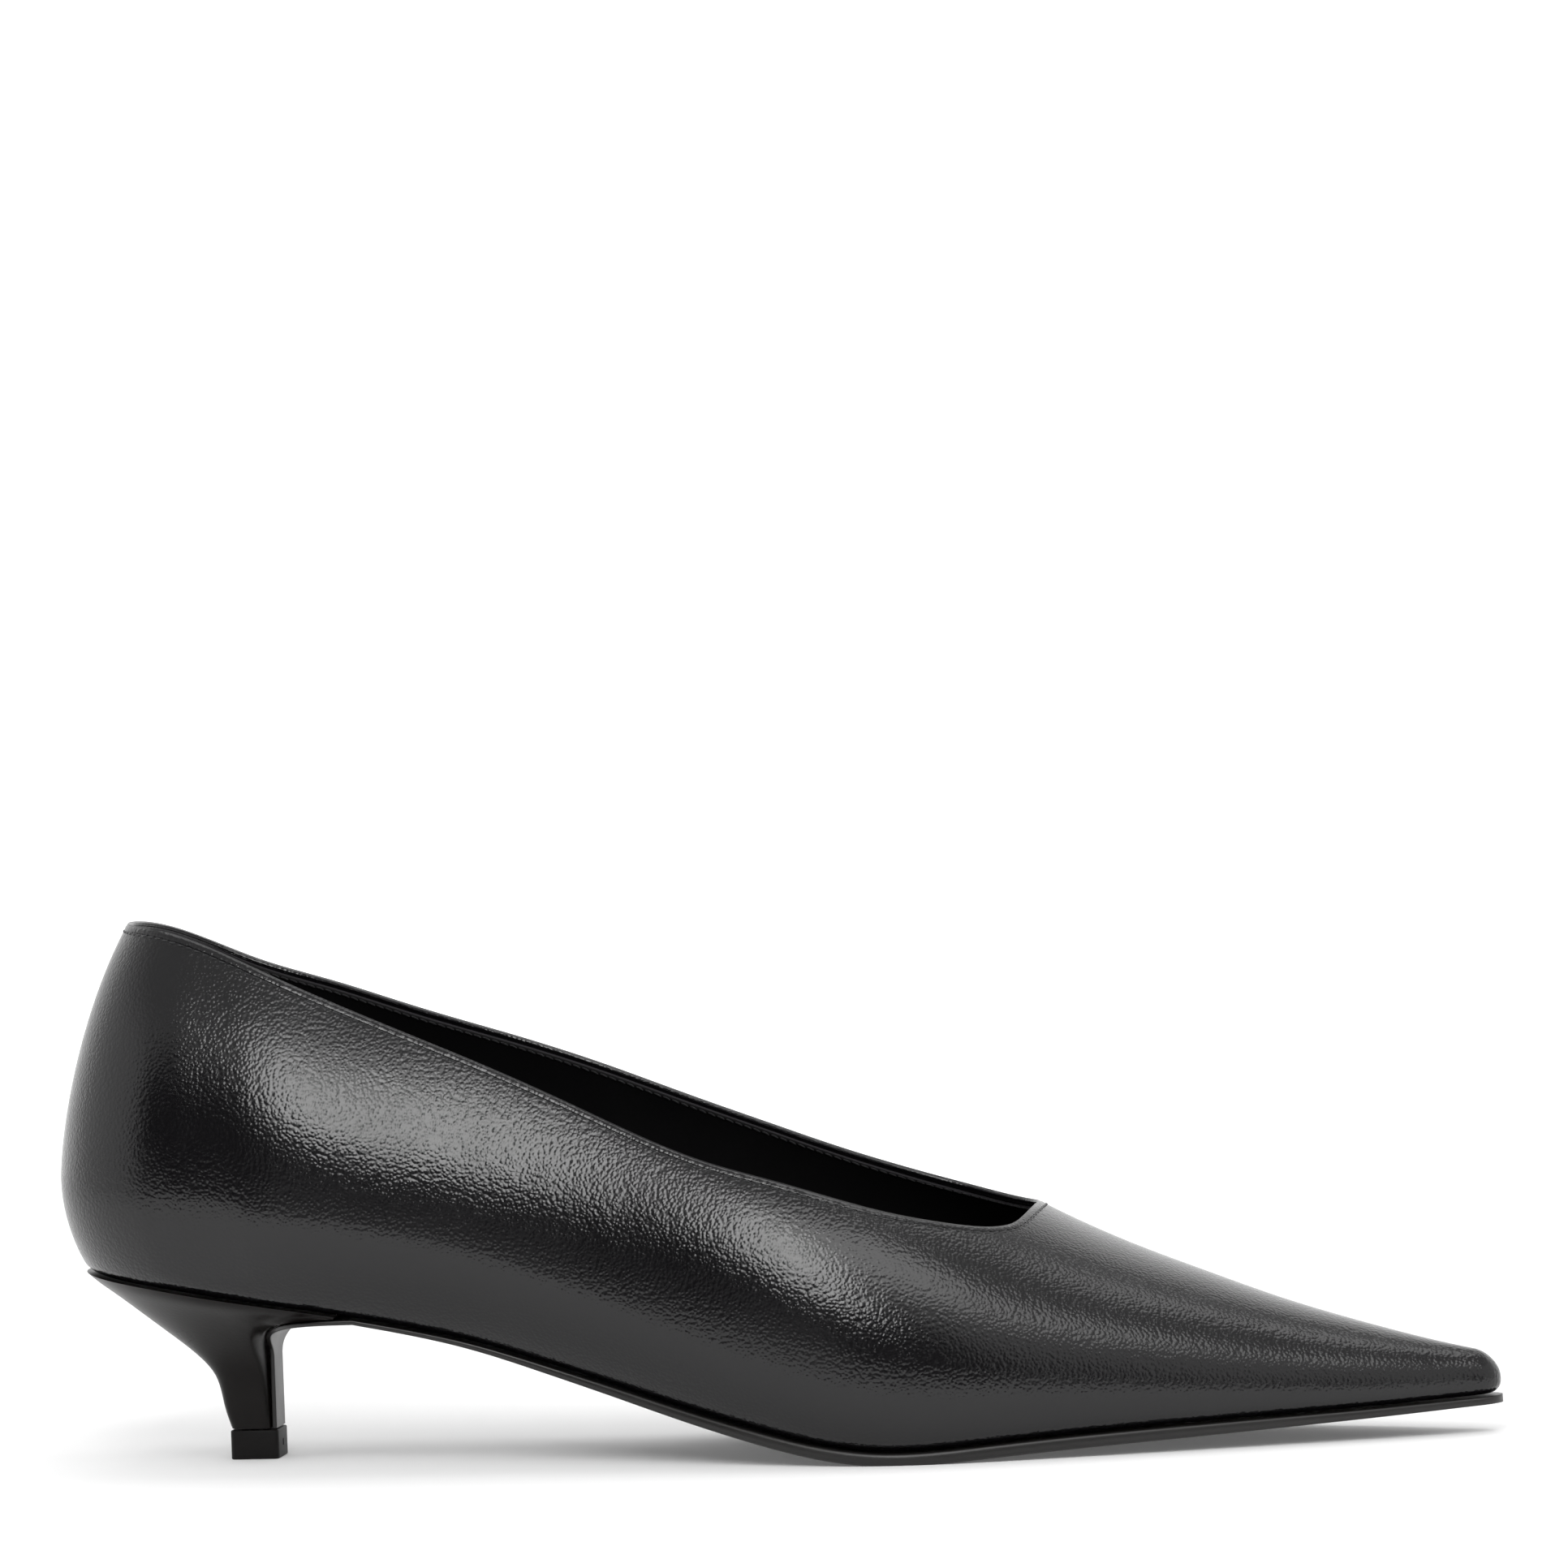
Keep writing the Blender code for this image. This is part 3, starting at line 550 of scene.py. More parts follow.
def finished(
    maker: BMesh, name: str, slot: Slot, materials: Sequence[Material], crease: float = 40.0
) -> Object:
    """Makes a piece of a bmesh, which rides on the shoe, and logs it.

    Args:
        maker: the piece's bmesh, in the row frame.
        name: the piece's name.
        slot: the record's slot of its finish; not used.
        materials: its finishes.
        crease: edges sharper than this many degrees stay sharp.

    Returns:
        The piece.
    """
    mesh = bpy.data.meshes.new(name)
    maker.to_mesh(mesh)
    maker.free()
    mesh.shade_smooth()
    mesh.set_sharp_from_angle(angle=math.radians(crease))
    for finish in materials:
        mesh.materials.append(finish)
    piece = bpy.data.objects.new(name, mesh)
    bpy.context.scene.collection.objects.link(piece)
    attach(piece, "root")
    log.info("%s: %d faces", name, len(mesh.polygons))
    return piece


def thickened(piece: Object, thickness: float, rim_material: int = 0) -> None:
    """Gives a skin its thickness inwards.

    Args:
        piece: the skin.
        thickness: the leather's thickness.
        rim_material: which of its materials the cut edge has.
    """
    wall = piece.modifiers.new("thickness", "SOLIDIFY")
    wall.thickness = thickness
    wall.offset = -1
    wall.use_even_offset = True
    wall.use_quality_normals = True
    wall.material_offset_rim = rim_material


def linear(code: str) -> tuple[float, float, float]:
    """The linear colour of an sRGB hex code such as 1b1a1c."""
    shares = [int(code[i : i + 2], 16) / 255 for i in (0, 2, 4)]
    return tuple(c / 12.92 if c <= 0.04045 else ((c + 0.055) / 1.055) ** 2.4 for c in shares)


def add_node(tree: NodeTree, kind: str, settings: dict | None = None, **links: object) -> Node:
    """Adds a shader node.

    Args:
        tree: the material's nodes.
        kind: the node's type.
        settings: its properties, by name.
        links: socket name with underscores for spaces, or s0, s1 for a socket's number, to a
            value or to another node's output.

    Returns:
        The node.
    """
    node = tree.nodes.new(kind)
    for name, value in (settings or {}).items():
        setattr(node, name, value)
    for name, value in links.items():
        socket = node.inputs[int(name[1:])] if name[1:].isdigit() else node.inputs[name.replace("_", " ")]
        if isinstance(value, NodeSocket):
            tree.links.new(value, socket)
        else:
            socket.default_value = value
    return node


def maths(tree: NodeTree, operation: str, *values: object) -> NodeSocket:
    """The output of a sum, product or the like of values and other nodes' outputs."""
    links = {f"s{i}": value for i, value in enumerate(values)}
    return add_node(tree, "ShaderNodeMath", {"operation": operation}, **links).outputs[0]


def vectors(tree: NodeTree, operation: str, *values: object) -> Node:
    """The node of an operation on vectors."""
    links = {f"s{i}": value for i, value in enumerate(values)}
    return add_node(tree, "ShaderNodeVectorMath", {"operation": operation}, **links)


def ramp(
    tree: NodeTree,
    value: NodeSocket,
    source: tuple[float, float],
    target: tuple[float, float],
    kind: str = "SMOOTHSTEP",
) -> NodeSocket:
    """A value carried from one range to another.

    Args:
        tree: the material's nodes.
        value: the value.
        source: the range that it comes from.
        target: the range that it goes to.
        kind: how it runs between the two ends.

    Returns:
        The output.
    """
    ends = {"From_Min": source[0], "From_Max": source[1], "To_Min": target[0], "To_Max": target[1]}
    return add_node(tree, "ShaderNodeMapRange", {"interpolation_type": kind}, Value=value, **ends).outputs[0]


def noise(tree: NodeTree, place: NodeSocket, size: float, detail: float = 3.0) -> Node:
    """A noise whose features are about as many millimetres across as its size says."""
    return add_node(tree, "ShaderNodeTexNoise", None, Vector=place, Scale=1 / (size * MM), Detail=detail)


def principled(name: str, colour: str, **inputs: object) -> tuple[Material, NodeTree, Node]:
    """A new material in one base colour.

    Args:
        name: its name.
        colour: its base colour, as an sRGB hex code.
        inputs: the shader's uniform values: socket name with underscores for spaces, to value.

    Returns:
        The material, its nodes and its Principled shader.
    """
    made = bpy.data.materials.new(name)
    made.use_nodes = True
    made.diffuse_color = (*linear(colour), 1)
    shader = made.node_tree.nodes["Principled BSDF"]
    shader.inputs["Base Color"].default_value = (*linear(colour), 1)
    for socket, value in inputs.items():
        shader.inputs[socket.replace("_", " ")].default_value = value
    return made, made.node_tree, shader


def bumped(
    tree: NodeTree,
    shader: Node,
    height: NodeSocket,
    strength: float = 1.0,
    distance: float = 1.0,
) -> None:
    """Gives a shader the relief of a height, which is in metres where the distance is 1."""
    bump = add_node(tree, "ShaderNodeBump", None, Height=height, Strength=strength, Distance=distance)
    for normal in ("Normal", "Coat Normal"):
        tree.links.new(bump.outputs[0], shader.inputs[normal])


@dataclass(frozen=True)
class Hollow:
    """A broad soft hollow that the last leaves in the leather, or a swelling if its depth is negative.

    It is a bell round its middle in the view from the side, longer along one direction.
    """

    middle: tuple[float, float, float]
    slope: float
    length: float
    width: float
    depth: float

    def relief(self, tree: NodeTree, place: NodeSocket) -> NodeSocket:
        """The nodes of its relief in metres."""
        along = Vector((1, 0, self.slope)).normalized() / self.length
        across = Vector((-self.slope, 0, 1)).normalized() / self.width
        near = vectors(tree, "SUBTRACT", place, self.middle).outputs[0]
        shares = [vectors(tree, "DOT_PRODUCT", near, axis).outputs["Value"] for axis in (along, across)]
        squares = [maths(tree, "MULTIPLY", share, share) for share in shares]
        minus = maths(tree, "MULTIPLY", maths(tree, "ADD", *squares), -1.0)
        return maths(tree, "MULTIPLY", maths(tree, "EXPONENT", minus), -self.depth)


@dataclass(frozen=True)
class Leather:
    """A leather finish: what its surface is, in millimetres, and how it takes the light."""

    name: str
    colour: str
    roughness: float
    roughness_spread: float
    pebble: float
    pebble_depth: float
    fibre_depth: float
    specular: float = 0.5
    coat: float = 0.0
    coat_roughness: float = 0.3
    hollows: tuple[Hollow, ...] = ()
    fibre: float = 0.35
    drift: float = 2.2
    drift_reach: float = 0.6
    cloud: float = 14.0

    def nodes(self, tree: NodeTree, place: NodeSocket) -> tuple[NodeSocket, NodeSocket]:
        """The nodes of the grain: pebbles that drift from their rows, over fine fibres.

        Args:
            tree: the material's nodes.
            place: the coordinates that the grain reads.

        Returns:
            The relief in metres, and the roughness.
        """
        drift = noise(tree, place, self.drift, detail=2.0).outputs["Color"]
        shifted = vectors(tree, "MULTIPLY_ADD", drift, (self.drift_reach * MM,) * 3, place).outputs[0]
        kind, scale = {"feature": "SMOOTH_F1"}, 1 / (self.pebble * MM)
        cells = add_node(tree, "ShaderNodeTexVoronoi", kind, Vector=shifted, Scale=scale, Smoothness=0.6)
        fibre = noise(tree, place, self.fibre).outputs[0]
        pebbles = maths(tree, "MULTIPLY", cells.outputs["Distance"], -self.pebble_depth * MM)
        relief = maths(tree, "MULTIPLY_ADD", fibre, self.fibre_depth * MM, pebbles)
        for hollow in self.hollows:
            relief = maths(tree, "ADD", relief, hollow.relief(tree, place))
        cloud = noise(tree, place, self.cloud).outputs[0]
        spread = (self.roughness - self.roughness_spread, self.roughness + self.roughness_spread)
        return relief, ramp(tree, cloud, (0.3, 0.7), spread, "LINEAR")

    def shader(self, name: str) -> tuple[Material, NodeTree, Node]:
        """A material with the leather's uniform values."""
        return principled(
            name,
            self.colour,
            Specular_IOR_Level=self.specular,
            Coat_Weight=self.coat,
            Coat_Roughness=self.coat_roughness,
        )

    def material(self) -> Material:
        """The finish as a material."""
        made, tree, shader = self.shader(self.name)
        relief, rough = self.nodes(tree, add_node(tree, "ShaderNodeTexCoord").outputs["Object"])
        tree.links.new(rough, shader.inputs["Roughness"])
        bumped(tree, shader, relief)
        return made


@dataclass(frozen=True)
class SewnBand:
    """The calf of the folded top line, with the needle holes and the groove of its seam.

    The band's UV is in metres: u along the top line, v down from it. The eye sees a row of dark
    dashes in a shaded groove, just below the bright fold: the needle holes are painted near black
    and the groove's gloss is lowered, both as painted shade.
    """

    leather: Leather
    pitch: float
    line: float
    hole: float = 0.46 * MM
    hole_depth: float = 0.35 * MM
    groove: float = 0.45 * MM
    groove_depth: float = 0.14 * MM
    # Painted shade: the needle holes' near-black colour stands for the shade inside them
    hole_painted_shade: tuple[float, float, float, float] = (0.001, 0.001, 0.001, 1)

    def material(self) -> Material:
        """The finish as a material."""
        leather, hole, groove = self.leather, self.hole, self.groove
        made, tree, shader = leather.shader("sewn_calf_black")
        source = add_node(tree, "ShaderNodeTexCoord").outputs
        relief, rough = leather.nodes(tree, source["Object"])
        split = add_node(tree, "ShaderNodeSeparateXYZ", None, Vector=source["UV"]).outputs
        turns = maths(tree, "PINGPONG", split[0], self.pitch / 2)
        across = maths(tree, "SUBTRACT", split[1], self.line)
        both = add_node(tree, "ShaderNodeCombineXYZ", None, X=turns, Y=across).outputs[0]
        reach = vectors(tree, "LENGTH", both).outputs["Value"]
        beside = maths(tree, "ABSOLUTE", across)
        holes = ramp(tree, reach, (0.45 * hole, hole), (-self.hole_depth, 0.0))
        trough = ramp(tree, beside, (0.0, groove), (-self.groove_depth, 0.0))
        # Painted shade: the gloss is lowered in the groove, where the seam's shade falls
        shade = ramp(tree, beside, (0.25 * groove, groove), (0.1 * leather.specular, leather.specular))
        bumped(tree, shader, maths(tree, "ADD", maths(tree, "ADD", holes, trough), relief))
        # Painted shade: the base colour goes near black in the needle holes, where shade falls
        dark = ramp(tree, reach, (0.5 * hole, 0.9 * hole), (0.0, 1.0), "LINEAR")
        shades = {"s6": self.hole_painted_shade, "s7": (*linear(leather.colour), 1)}
        colour = add_node(tree, "ShaderNodeMix", {"data_type": "RGBA"}, s0=dark, **shades).outputs[2]
        for socket, value in {"Roughness": rough, "Specular IOR Level": shade, "Base Color": colour}.items():
            tree.links.new(value, shader.inputs[socket])
        return made


@dataclass(frozen=True)
class Thread:
    """Black polyester thread, twisted from plies: a soft sheen with a fine slanted rib."""

    colour: str = "0e0e11"
    ply: float = 0.22
    rib: float = 0.04

    def material(self) -> Material:
        """The finish as a material."""
        made, tree, shader = principled(
            "polyester_thread_black", self.colour, Roughness=0.42, Sheen_Weight=0.08
        )
        place = add_node(tree, "ShaderNodeTexCoord").outputs["UV"]
        scale = 1 / (20 * self.ply * MM)
        bands = {"bands_direction": "DIAGONAL"}
        plies = add_node(tree, "ShaderNodeTexWave", bands, Vector=place, Scale=scale, Distortion=0.5)
        bumped(tree, shader, plies.outputs["Fac"], strength=0.5, distance=self.rib * MM)
        return made


@dataclass(frozen=True)
class Rubber:
    """Moulded polyurethane of the top lift: matt, with the fine mottle of its mould."""

    colour: str = "0c0a0a"
    mottle: float = 0.5
    mottle_depth: float = 0.03

    def material(self) -> Material:
        """The finish as a material."""
        made, tree, shader = principled(
            "moulded_polyurethane_black", self.colour, Roughness=0.5, Specular_IOR_Level=0.2
        )
        place = add_node(tree, "ShaderNodeTexCoord").outputs["Object"]
        bumped(tree, shader, noise(tree, place, self.mottle).outputs[0], distance=self.mottle_depth * MM)
        return made


# Calf for uppers is plated smooth. The eye sees a soft broad sheen that the pebble grain breaks
# up where the light grazes it, over the hollow below the top line and the swelling by the vamp.
CALF = Leather(
    "plated_calf_black",
    "0a090b",
    roughness=0.19,
    roughness_spread=0.02,
    pebble=0.64,
    pebble_depth=0.070,
    fibre_depth=0.006,
    hollows=(
        Hollow((-0.1178, 0.0, 0.112), slope=-0.46, length=66 * MM, width=20 * MM, depth=7.0 * MM),
        Hollow((0.0042, 0.0, 0.053), slope=-0.40, length=25 * MM, width=22 * MM, depth=-1.2 * MM),
    ),
)
# The heel's calf is skived thin and pulled tight: its grain is nearly gone, its sheen dull
HEEL_CALF = Leather(
    "skived_calf_black",
    "0d0a09",
    roughness=0.30,
    roughness_spread=0.03,
    pebble=0.7,
    pebble_depth=0.008,
    fibre_depth=0.003,
    specular=0.18,
)
# The sole's hard leather is painted and waxed: an even, half matt black
SOLE_CALF = Leather(
    "painted_sole_leather",
    "12100f",
    roughness=0.38,
    roughness_spread=0.05,
    pebble=1.1,
    pebble_depth=0.012,
    fibre_depth=0.010,
    coat=0.05,
)
# Kid for linings has no finish: it looks like soot, with hardly any sheen
LINING_KID = Leather(
    "lining_kid_black",
    "070607",
    roughness=0.62,
    roughness_spread=0.04,
    pebble=0.5,
    pebble_depth=0.012,
    fibre_depth=0.012,
    specular=0.2,
)
# The lining's cut edge shows its raw fibres, greyer and fuzzy
CUT_EDGE = Leather(
    "cut_leather_edge",
    "2b292c",
    roughness=0.8,
    roughness_spread=0.04,
    pebble=0.4,
    pebble_depth=0.03,
    fibre_depth=0.03,
    specular=0.3,
)


@dataclass
class Upper:
    """The hollow calf upper with its folded and sewn top line, and its lining."""

    last: Last
    shift: Vector
    fineness: Fineness = field(default_factory=Fineness)
    calf_thickness: float = 0.9 * MM
    lining_thickness: float = 0.5 * MM
    lining_drop: float = 1.0 * MM
    lining_gap: float = 0.04 * MM
    least_margin: float = 0.3
    throat_zone: float = 0.09
    fold_radius: float = 0.5 * MM
    stitch_pitch: float = 1.85 * MM
    stitch_line: float = 1.7 * MM
    thread: float = 0.42 * MM
    stitch_slant: float = 0.16
    stitch_lift: float = 0.02 * MM
    stitch_share: float = 0.66
    points_a_stitch: int = 3
    band_depth: float = 3.4 * MM
    fold_steps: int = 10
    joint_reach: float = 9 * MM
    joint_passes: int = 12
    least_step: float = 0.3 * MM
    walk: float = 0.5 * MM
    dents: tuple[Dent, ...] = ()

    def build(self) -> None:
        """Builds and dresses the upper's pieces."""
        throat = self.last.throat_x(0.0)
        skin = self.relieved(facing_out(grid_over(self.lines(throat, 0.0))))
        tree = BVHTree.FromBMesh(skin)
        upper = finished(skin, "upper_calf", Slot.UPPER, [CALF.material()])
        thickened(upper, self.calf_thickness)
        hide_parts("upper")
        self.lining()
        line = self.top_line(throat)
        self.band(line, tree)
        self.seam(line, tree)

    def side_station(self, x: float, side: Side) -> Station:
        """A section straight across the shoe, on one side."""
        lateral, medial = self.last.plan_edges(x, 0)
        centre = Vector((x, self.last.crest_line(x)))
        reach = centre.y - lateral if side is Side.LATERAL else medial - centre.y
        return Station(self.last, centre, Vector((0, side.value)), reach, self.last.swell[side](x))

    def heel_station(self, angle: float, side: Side) -> Station:
        """A section that fans round the heel seat: angle 0 is across, a quarter turn back."""
        last, out_back = self.last, self.last.sizes.counter_out
        across = last.half_width(last.heel_x) * math.cos(angle)
        back = (last.heel_x - out_back) * math.sin(angle)
        feather = Vector((-back, side.value * across))
        swell = last.swell[side](last.heel_x)
        out = swell + (out_back - swell) * math.sin(angle) ** 2
        return Station(last, Vector((last.heel_x, 0)), feather.normalized(), feather.length, out)

    def nose_station(self, angle: float, side: Side) -> Station:
        """A section that fans round the toe: angle 0 is across, a quarter turn ahead."""
        last = self.last
        direction = Vector((math.sin(angle), side.value * math.cos(angle)))
        reach = last.sizes.toe_radius / math.cos(max(last.sizes.toe_angle - angle, 0.0))
        swell = last.swell[Side.LATERAL](last.nose_x)
        return Station(last, Vector((last.nose_x, last.nose_y)), direction, reach, swell)

    def stations(self, throat: float) -> list[Station]:
        """Every section round the shoe, from the back by the inner side to the toe and home."""
        fine, last = self.fineness, self.last
        behind = throat - self.throat_zone * last.sizes.shoe_length
        places = [last.heel_x + (behind - last.heel_x) * i / fine.side for i in range(fine.side)]
        places += [throat - (throat - behind) * (1 - i / fine.throat) ** 2 for i in range(fine.throat)]
        places += [throat + (last.nose_x - throat) * i / fine.vamp for i in range(fine.vamp)]
        heel_angles = [QUARTER * i / fine.heel for i in range(fine.heel + 1)]
        nose_angles = [QUARTER * i / fine.nose for i in range(fine.nose + 1)]
        medial = [self.heel_station(a, Side.MEDIAL) for a in reversed(heel_angles[1:])]
        medial += [self.side_station(x, Side.MEDIAL) for x in places]
        medial += [self.nose_station(a, Side.MEDIAL) for a in nose_angles]
        lateral = [self.nose_station(a, Side.LATERAL) for a in reversed(nose_angles[:-1])]
        lateral += [self.side_station(x, Side.LATERAL) for x in reversed(places)]
        lateral += [self.heel_station(a, Side.LATERAL) for a in heel_angles[1:]]
        return medial + lateral

    def profile(self, station: Station, throat: float, drop: float) -> list[Vector]:
        """The leather's outer face on one section, from its turned margin's edge to its top."""
        sizes, fine = self.last.sizes, self.fineness
        inner = max(station.reach - sizes.margin, self.least_margin * station.reach)
        corner = sizes.feather_radius
        flat = (station.reach - corner - inner) / fine.margin
        points = [station.under(inner + flat * i, 0) for i in range(fine.margin)]
        for i in range(fine.corner + 1):
            turn = QUARTER * i / fine.corner
            height = corner * (1 - math.cos(turn))
            distance = station.lower(height) - corner * (1 - math.sin(turn))
            points.append(station.under(distance, height))
        for i in range(1, fine.lower):
            height = corner + (station.wide - corner) * i / fine.lower
            points.append(station.point(station.lower(height), height))
        top = station.top_turn(throat, drop)
        points += [station.upper(top * i / fine.upper) for i in range(fine.upper + 1)]
        return [point + self.shift for point in points]

    def lines(self, throat: float, drop: float) -> list[list[Vector]]:
        """The outer face's lines of points, once round the shoe."""
        return [self.profile(station, throat, drop) for station in self.stations(throat)]

    def relieved(self, maker: BMesh) -> BMesh:
        """Eases the joint over the heel seat and presses the dents into a skin."""
        seat = self.last.heel_x + self.shift.x
        joint = [v for v in maker.verts if abs(v.co.x - seat) < self.joint_reach and not v.is_boundary]
        for _ in range(self.joint_passes):
            bmesh.ops.smooth_vert(
                maker, verts=joint, factor=0.5, use_axis_x=False, use_axis_y=True, use_axis_z=False
            )
        for vertex in maker.verts:
            vertex.co += vertex.normal * sum(dent.lift(vertex.co) for dent in self.dents)
        maker.normal_update()
        return maker

    def lining(self) -> None:
        """The lining, glued to the inside of the calf and trimmed just below the fold."""
        throat = self.last.throat_x(self.lining_drop)
        maker = self.relieved(facing_out(grid_over(self.lines(throat, self.lining_drop))))
        inset = self.calf_thickness + self.lining_gap
        for vertex in maker.verts:
            vertex.co -= vertex.normal * inset
        piece = finished(maker, "lining", Slot.INSOLE, [LINING_KID.material(), CUT_EDGE.material()])
        thickened(piece, self.lining_thickness, rim_material=1)

    def top_line(self, throat: float) -> list[Vector]:
        """The closed top line, at even steps from the back by the inner side and home."""
        rough = []
        for station in self.stations(throat):
            if station.centre.x < throat + WELD:
                rough.append(station.upper(station.top_turn(throat, 0.0)) + self.shift)
        points = [rough[0]]
        for point in rough[1:]:
            if (point - points[-1]).length > self.least_step:
                points.append(point)
        if (points[-1] - points[0]).length < self.least_step:
            points.pop()
        lap = 4
        wrapped = points[-lap:] + points + points[: lap + 1]
        lengths = np.cumsum([0.0] + [(b - a).length for a, b in zip(wrapped, wrapped[1:])])
        curves = [Curve(lengths, [point[axis] for point in wrapped]) for axis in range(3)]
        start, end = lengths[lap], lengths[lap + len(points)]
        steps = round((end - start) / self.stitch_pitch) * self.points_a_stitch
        places = [start + (end - start) * i / steps for i in range(steps)]
        return [Vector([curve(place) for curve in curves]) for place in places]

    def frames(
        self, line: Sequence[Vector], tree: BVHTree, distances: Sequence[float]
    ) -> list[list[tuple[Vector, Vector, Vector]]]:
        """Places on the leather at distances below the top line.

        Args:
            line: the closed top line.
            tree: the leather's outer face.
            distances: rising distances down the leather from the top line.

        Returns:
            For each point of the line, (place, outward normal, direction down) at each distance.
        """

        def downwards(normal: Vector, ahead: Vector) -> Vector:
            down = normal.cross(ahead).normalized()
            return -down if down.z > 0 else down

        rows = []
        count = len(line)
        for i, top in enumerate(line):
            ahead = (line[(i + 1) % count] - line[i - 1]).normalized()
            place, normal, _, _ = tree.find_nearest(top)
            row, gone = [], 0.0
            for distance in distances:
                while gone < distance - WELD:
                    step = min(distance - gone, self.walk)
                    place, normal, _, _ = tree.find_nearest(place + downwards(normal, ahead) * step)
                    gone += step
                row.append((place.copy(), normal.copy(), downwards(normal, ahead)))
            rows.append(row)
        return rows

    def band(self, line: Sequence[Vector], tree: BVHTree) -> None:
        """The folded edge of the calf, with the band above the seam a little proud."""
        radius = self.fold_radius
        steps = (radius, 0.75 * MM, 1.0 * MM, 1.3 * MM, self.stitch_line, 2.1 * MM, 2.6 * MM, self.band_depth)
        proud = 0.05 * MM
        lifts = (proud, 0.09 * MM, 0.09 * MM, 0.03 * MM, -0.03 * MM, 0.0, 0.012 * MM, -0.03 * MM)
        turned, slope, edge, unsewn = 5, 0.1 * MM, 0.35 * MM, -1.0 * MM
        loops = []
        for row in self.frames(line, tree, steps):
            loop = [place + normal * lift for (place, normal, _), lift in zip(row, lifts)][::-1]
            place, normal, down = row[0]
            centre = place - normal * (radius - proud)
            for i in range(1, self.fold_steps):
                turn = math.pi * i / self.fold_steps
                loop.append(centre + normal * (radius * math.cos(turn)) - down * (radius * math.sin(turn)))
            depth = 2 * radius - proud
            loop += [place - normal * (depth - slope * k) for k, (place, normal, _) in enumerate(row[:turned])]
            place, normal, _ = row[-1]
            loop.append(place - normal * edge)
            loops.append(loop + [loop[0]])
        length = self.perimeter(line)
        reach = length / len(loops)

        def uv(i: int, j: int) -> tuple[float, float]:
            return i * reach, steps[-1 - j] if j < len(steps) else unsewn

        calf = SewnBand(CALF, length / round(length / self.stitch_pitch), self.stitch_line)
        maker = grid_over(loops + [loops[0]], uv)
        finished(maker, "top_line_fold", Slot.UPPER, [calf.material()], crease=60)

    def perimeter(self, line: Sequence[Vector]) -> float:
        """Length of the closed top line."""
        return sum((b - a).length for a, b in zip(line, list(line[1:]) + [line[0]]))

    def seam(self, line: Sequence[Vector], tree: BVHTree) -> None:
        """The stitches, outside along the fold and inside along the lining's edge."""
        spots = [row[0] for row in self.frames(line, tree, (self.stitch_line,))]
        pattern = self.stitch()
        maker = bmesh.new()
        inside = self.calf_thickness + self.lining_thickness + self.stitch_lift
        for i in range(0, len(spots), self.points_a_stitch):
            (before, _, _), (middle, normal, down), (after, _, _) = spots[i : i + self.points_a_stitch]
            along = ((after - before).normalized() + down * self.stitch_slant).normalized()
            beside = normal.cross(along).normalized()
            turn = Matrix((along, beside, along.cross(beside))).transposed().to_4x4()
            half = (after - before).length * self.stitch_share
            size = Matrix.Diagonal((half, self.thread / 2, self.thread / 2, 1))
            for lift in (-self.stitch_lift, -inside):
                laid = pattern.copy()
                laid.transform(Matrix.Translation((middle + after) / 2 + normal * lift) @ turn @ size)
                maker.from_mesh(laid)
                bpy.data.meshes.remove(laid)
        bpy.data.meshes.remove(pattern)
        finished(maker, "top_line_seam", Slot.UPPER, [Thread().material()], crease=80)

    def stitch(self) -> Mesh:
        """One stitch along X, in shares of its size: a slug of thread with both ends drawn down."""
        maker = bmesh.new()
        lay = Matrix.Rotation(QUARTER, 4, "Y")
        maker.loops.layers.uv.new("UVMap")
        bmesh.ops.create_uvsphere(maker, u_segments=8, v_segments=6, radius=1, matrix=lay, calc_uvs=True)
        for vertex in maker.verts:
            vertex.co.z -= 0.7 * vertex.co.x**2
        pattern = bpy.data.meshes.new("stitch")
        maker.to_mesh(pattern)
        maker.free()
        return pattern


@dataclass
class Insole:
    """The insole board with the sock glued over it, on which the foot stands."""

    last: Last
    shift: Vector
    stations: list[Station]
    edge_round: float = 0.5 * MM
    edge_steps: int = 4
    least_reach: float = 0.4
    shares: tuple[float, ...] = (0.0, 0.3, 0.6, 0.85)

    def build(self) -> None:
        """Builds and dresses the sock."""
        sizes = self.last.sizes
        gap = sizes.wall + 2 * sizes.clearance
        lift = sizes.wall + sizes.clearance
        top = lift + sizes.insole_thickness
        lines = []
        for station in self.stations:
            reach = max(station.reach - gap, self.least_reach * station.reach)
            line = [station.under(reach * share, lift) for share in (*self.shares, 1.0)]
            for i in range(1, self.edge_steps + 1):
                turn = QUARTER * i / self.edge_steps
                distance = reach - self.edge_round * (1 - math.cos(turn))
                line.append(station.under(distance, top - self.edge_round * (1 - math.sin(turn))))
            line += [station.under(reach * share, top) for share in reversed(self.shares)]
            lines.append([point + self.shift for point in line])
        sock = finished(grid_over(lines), "sock_and_insole", Slot.INSOLE, [LINING_KID.material()])
        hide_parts("insole")


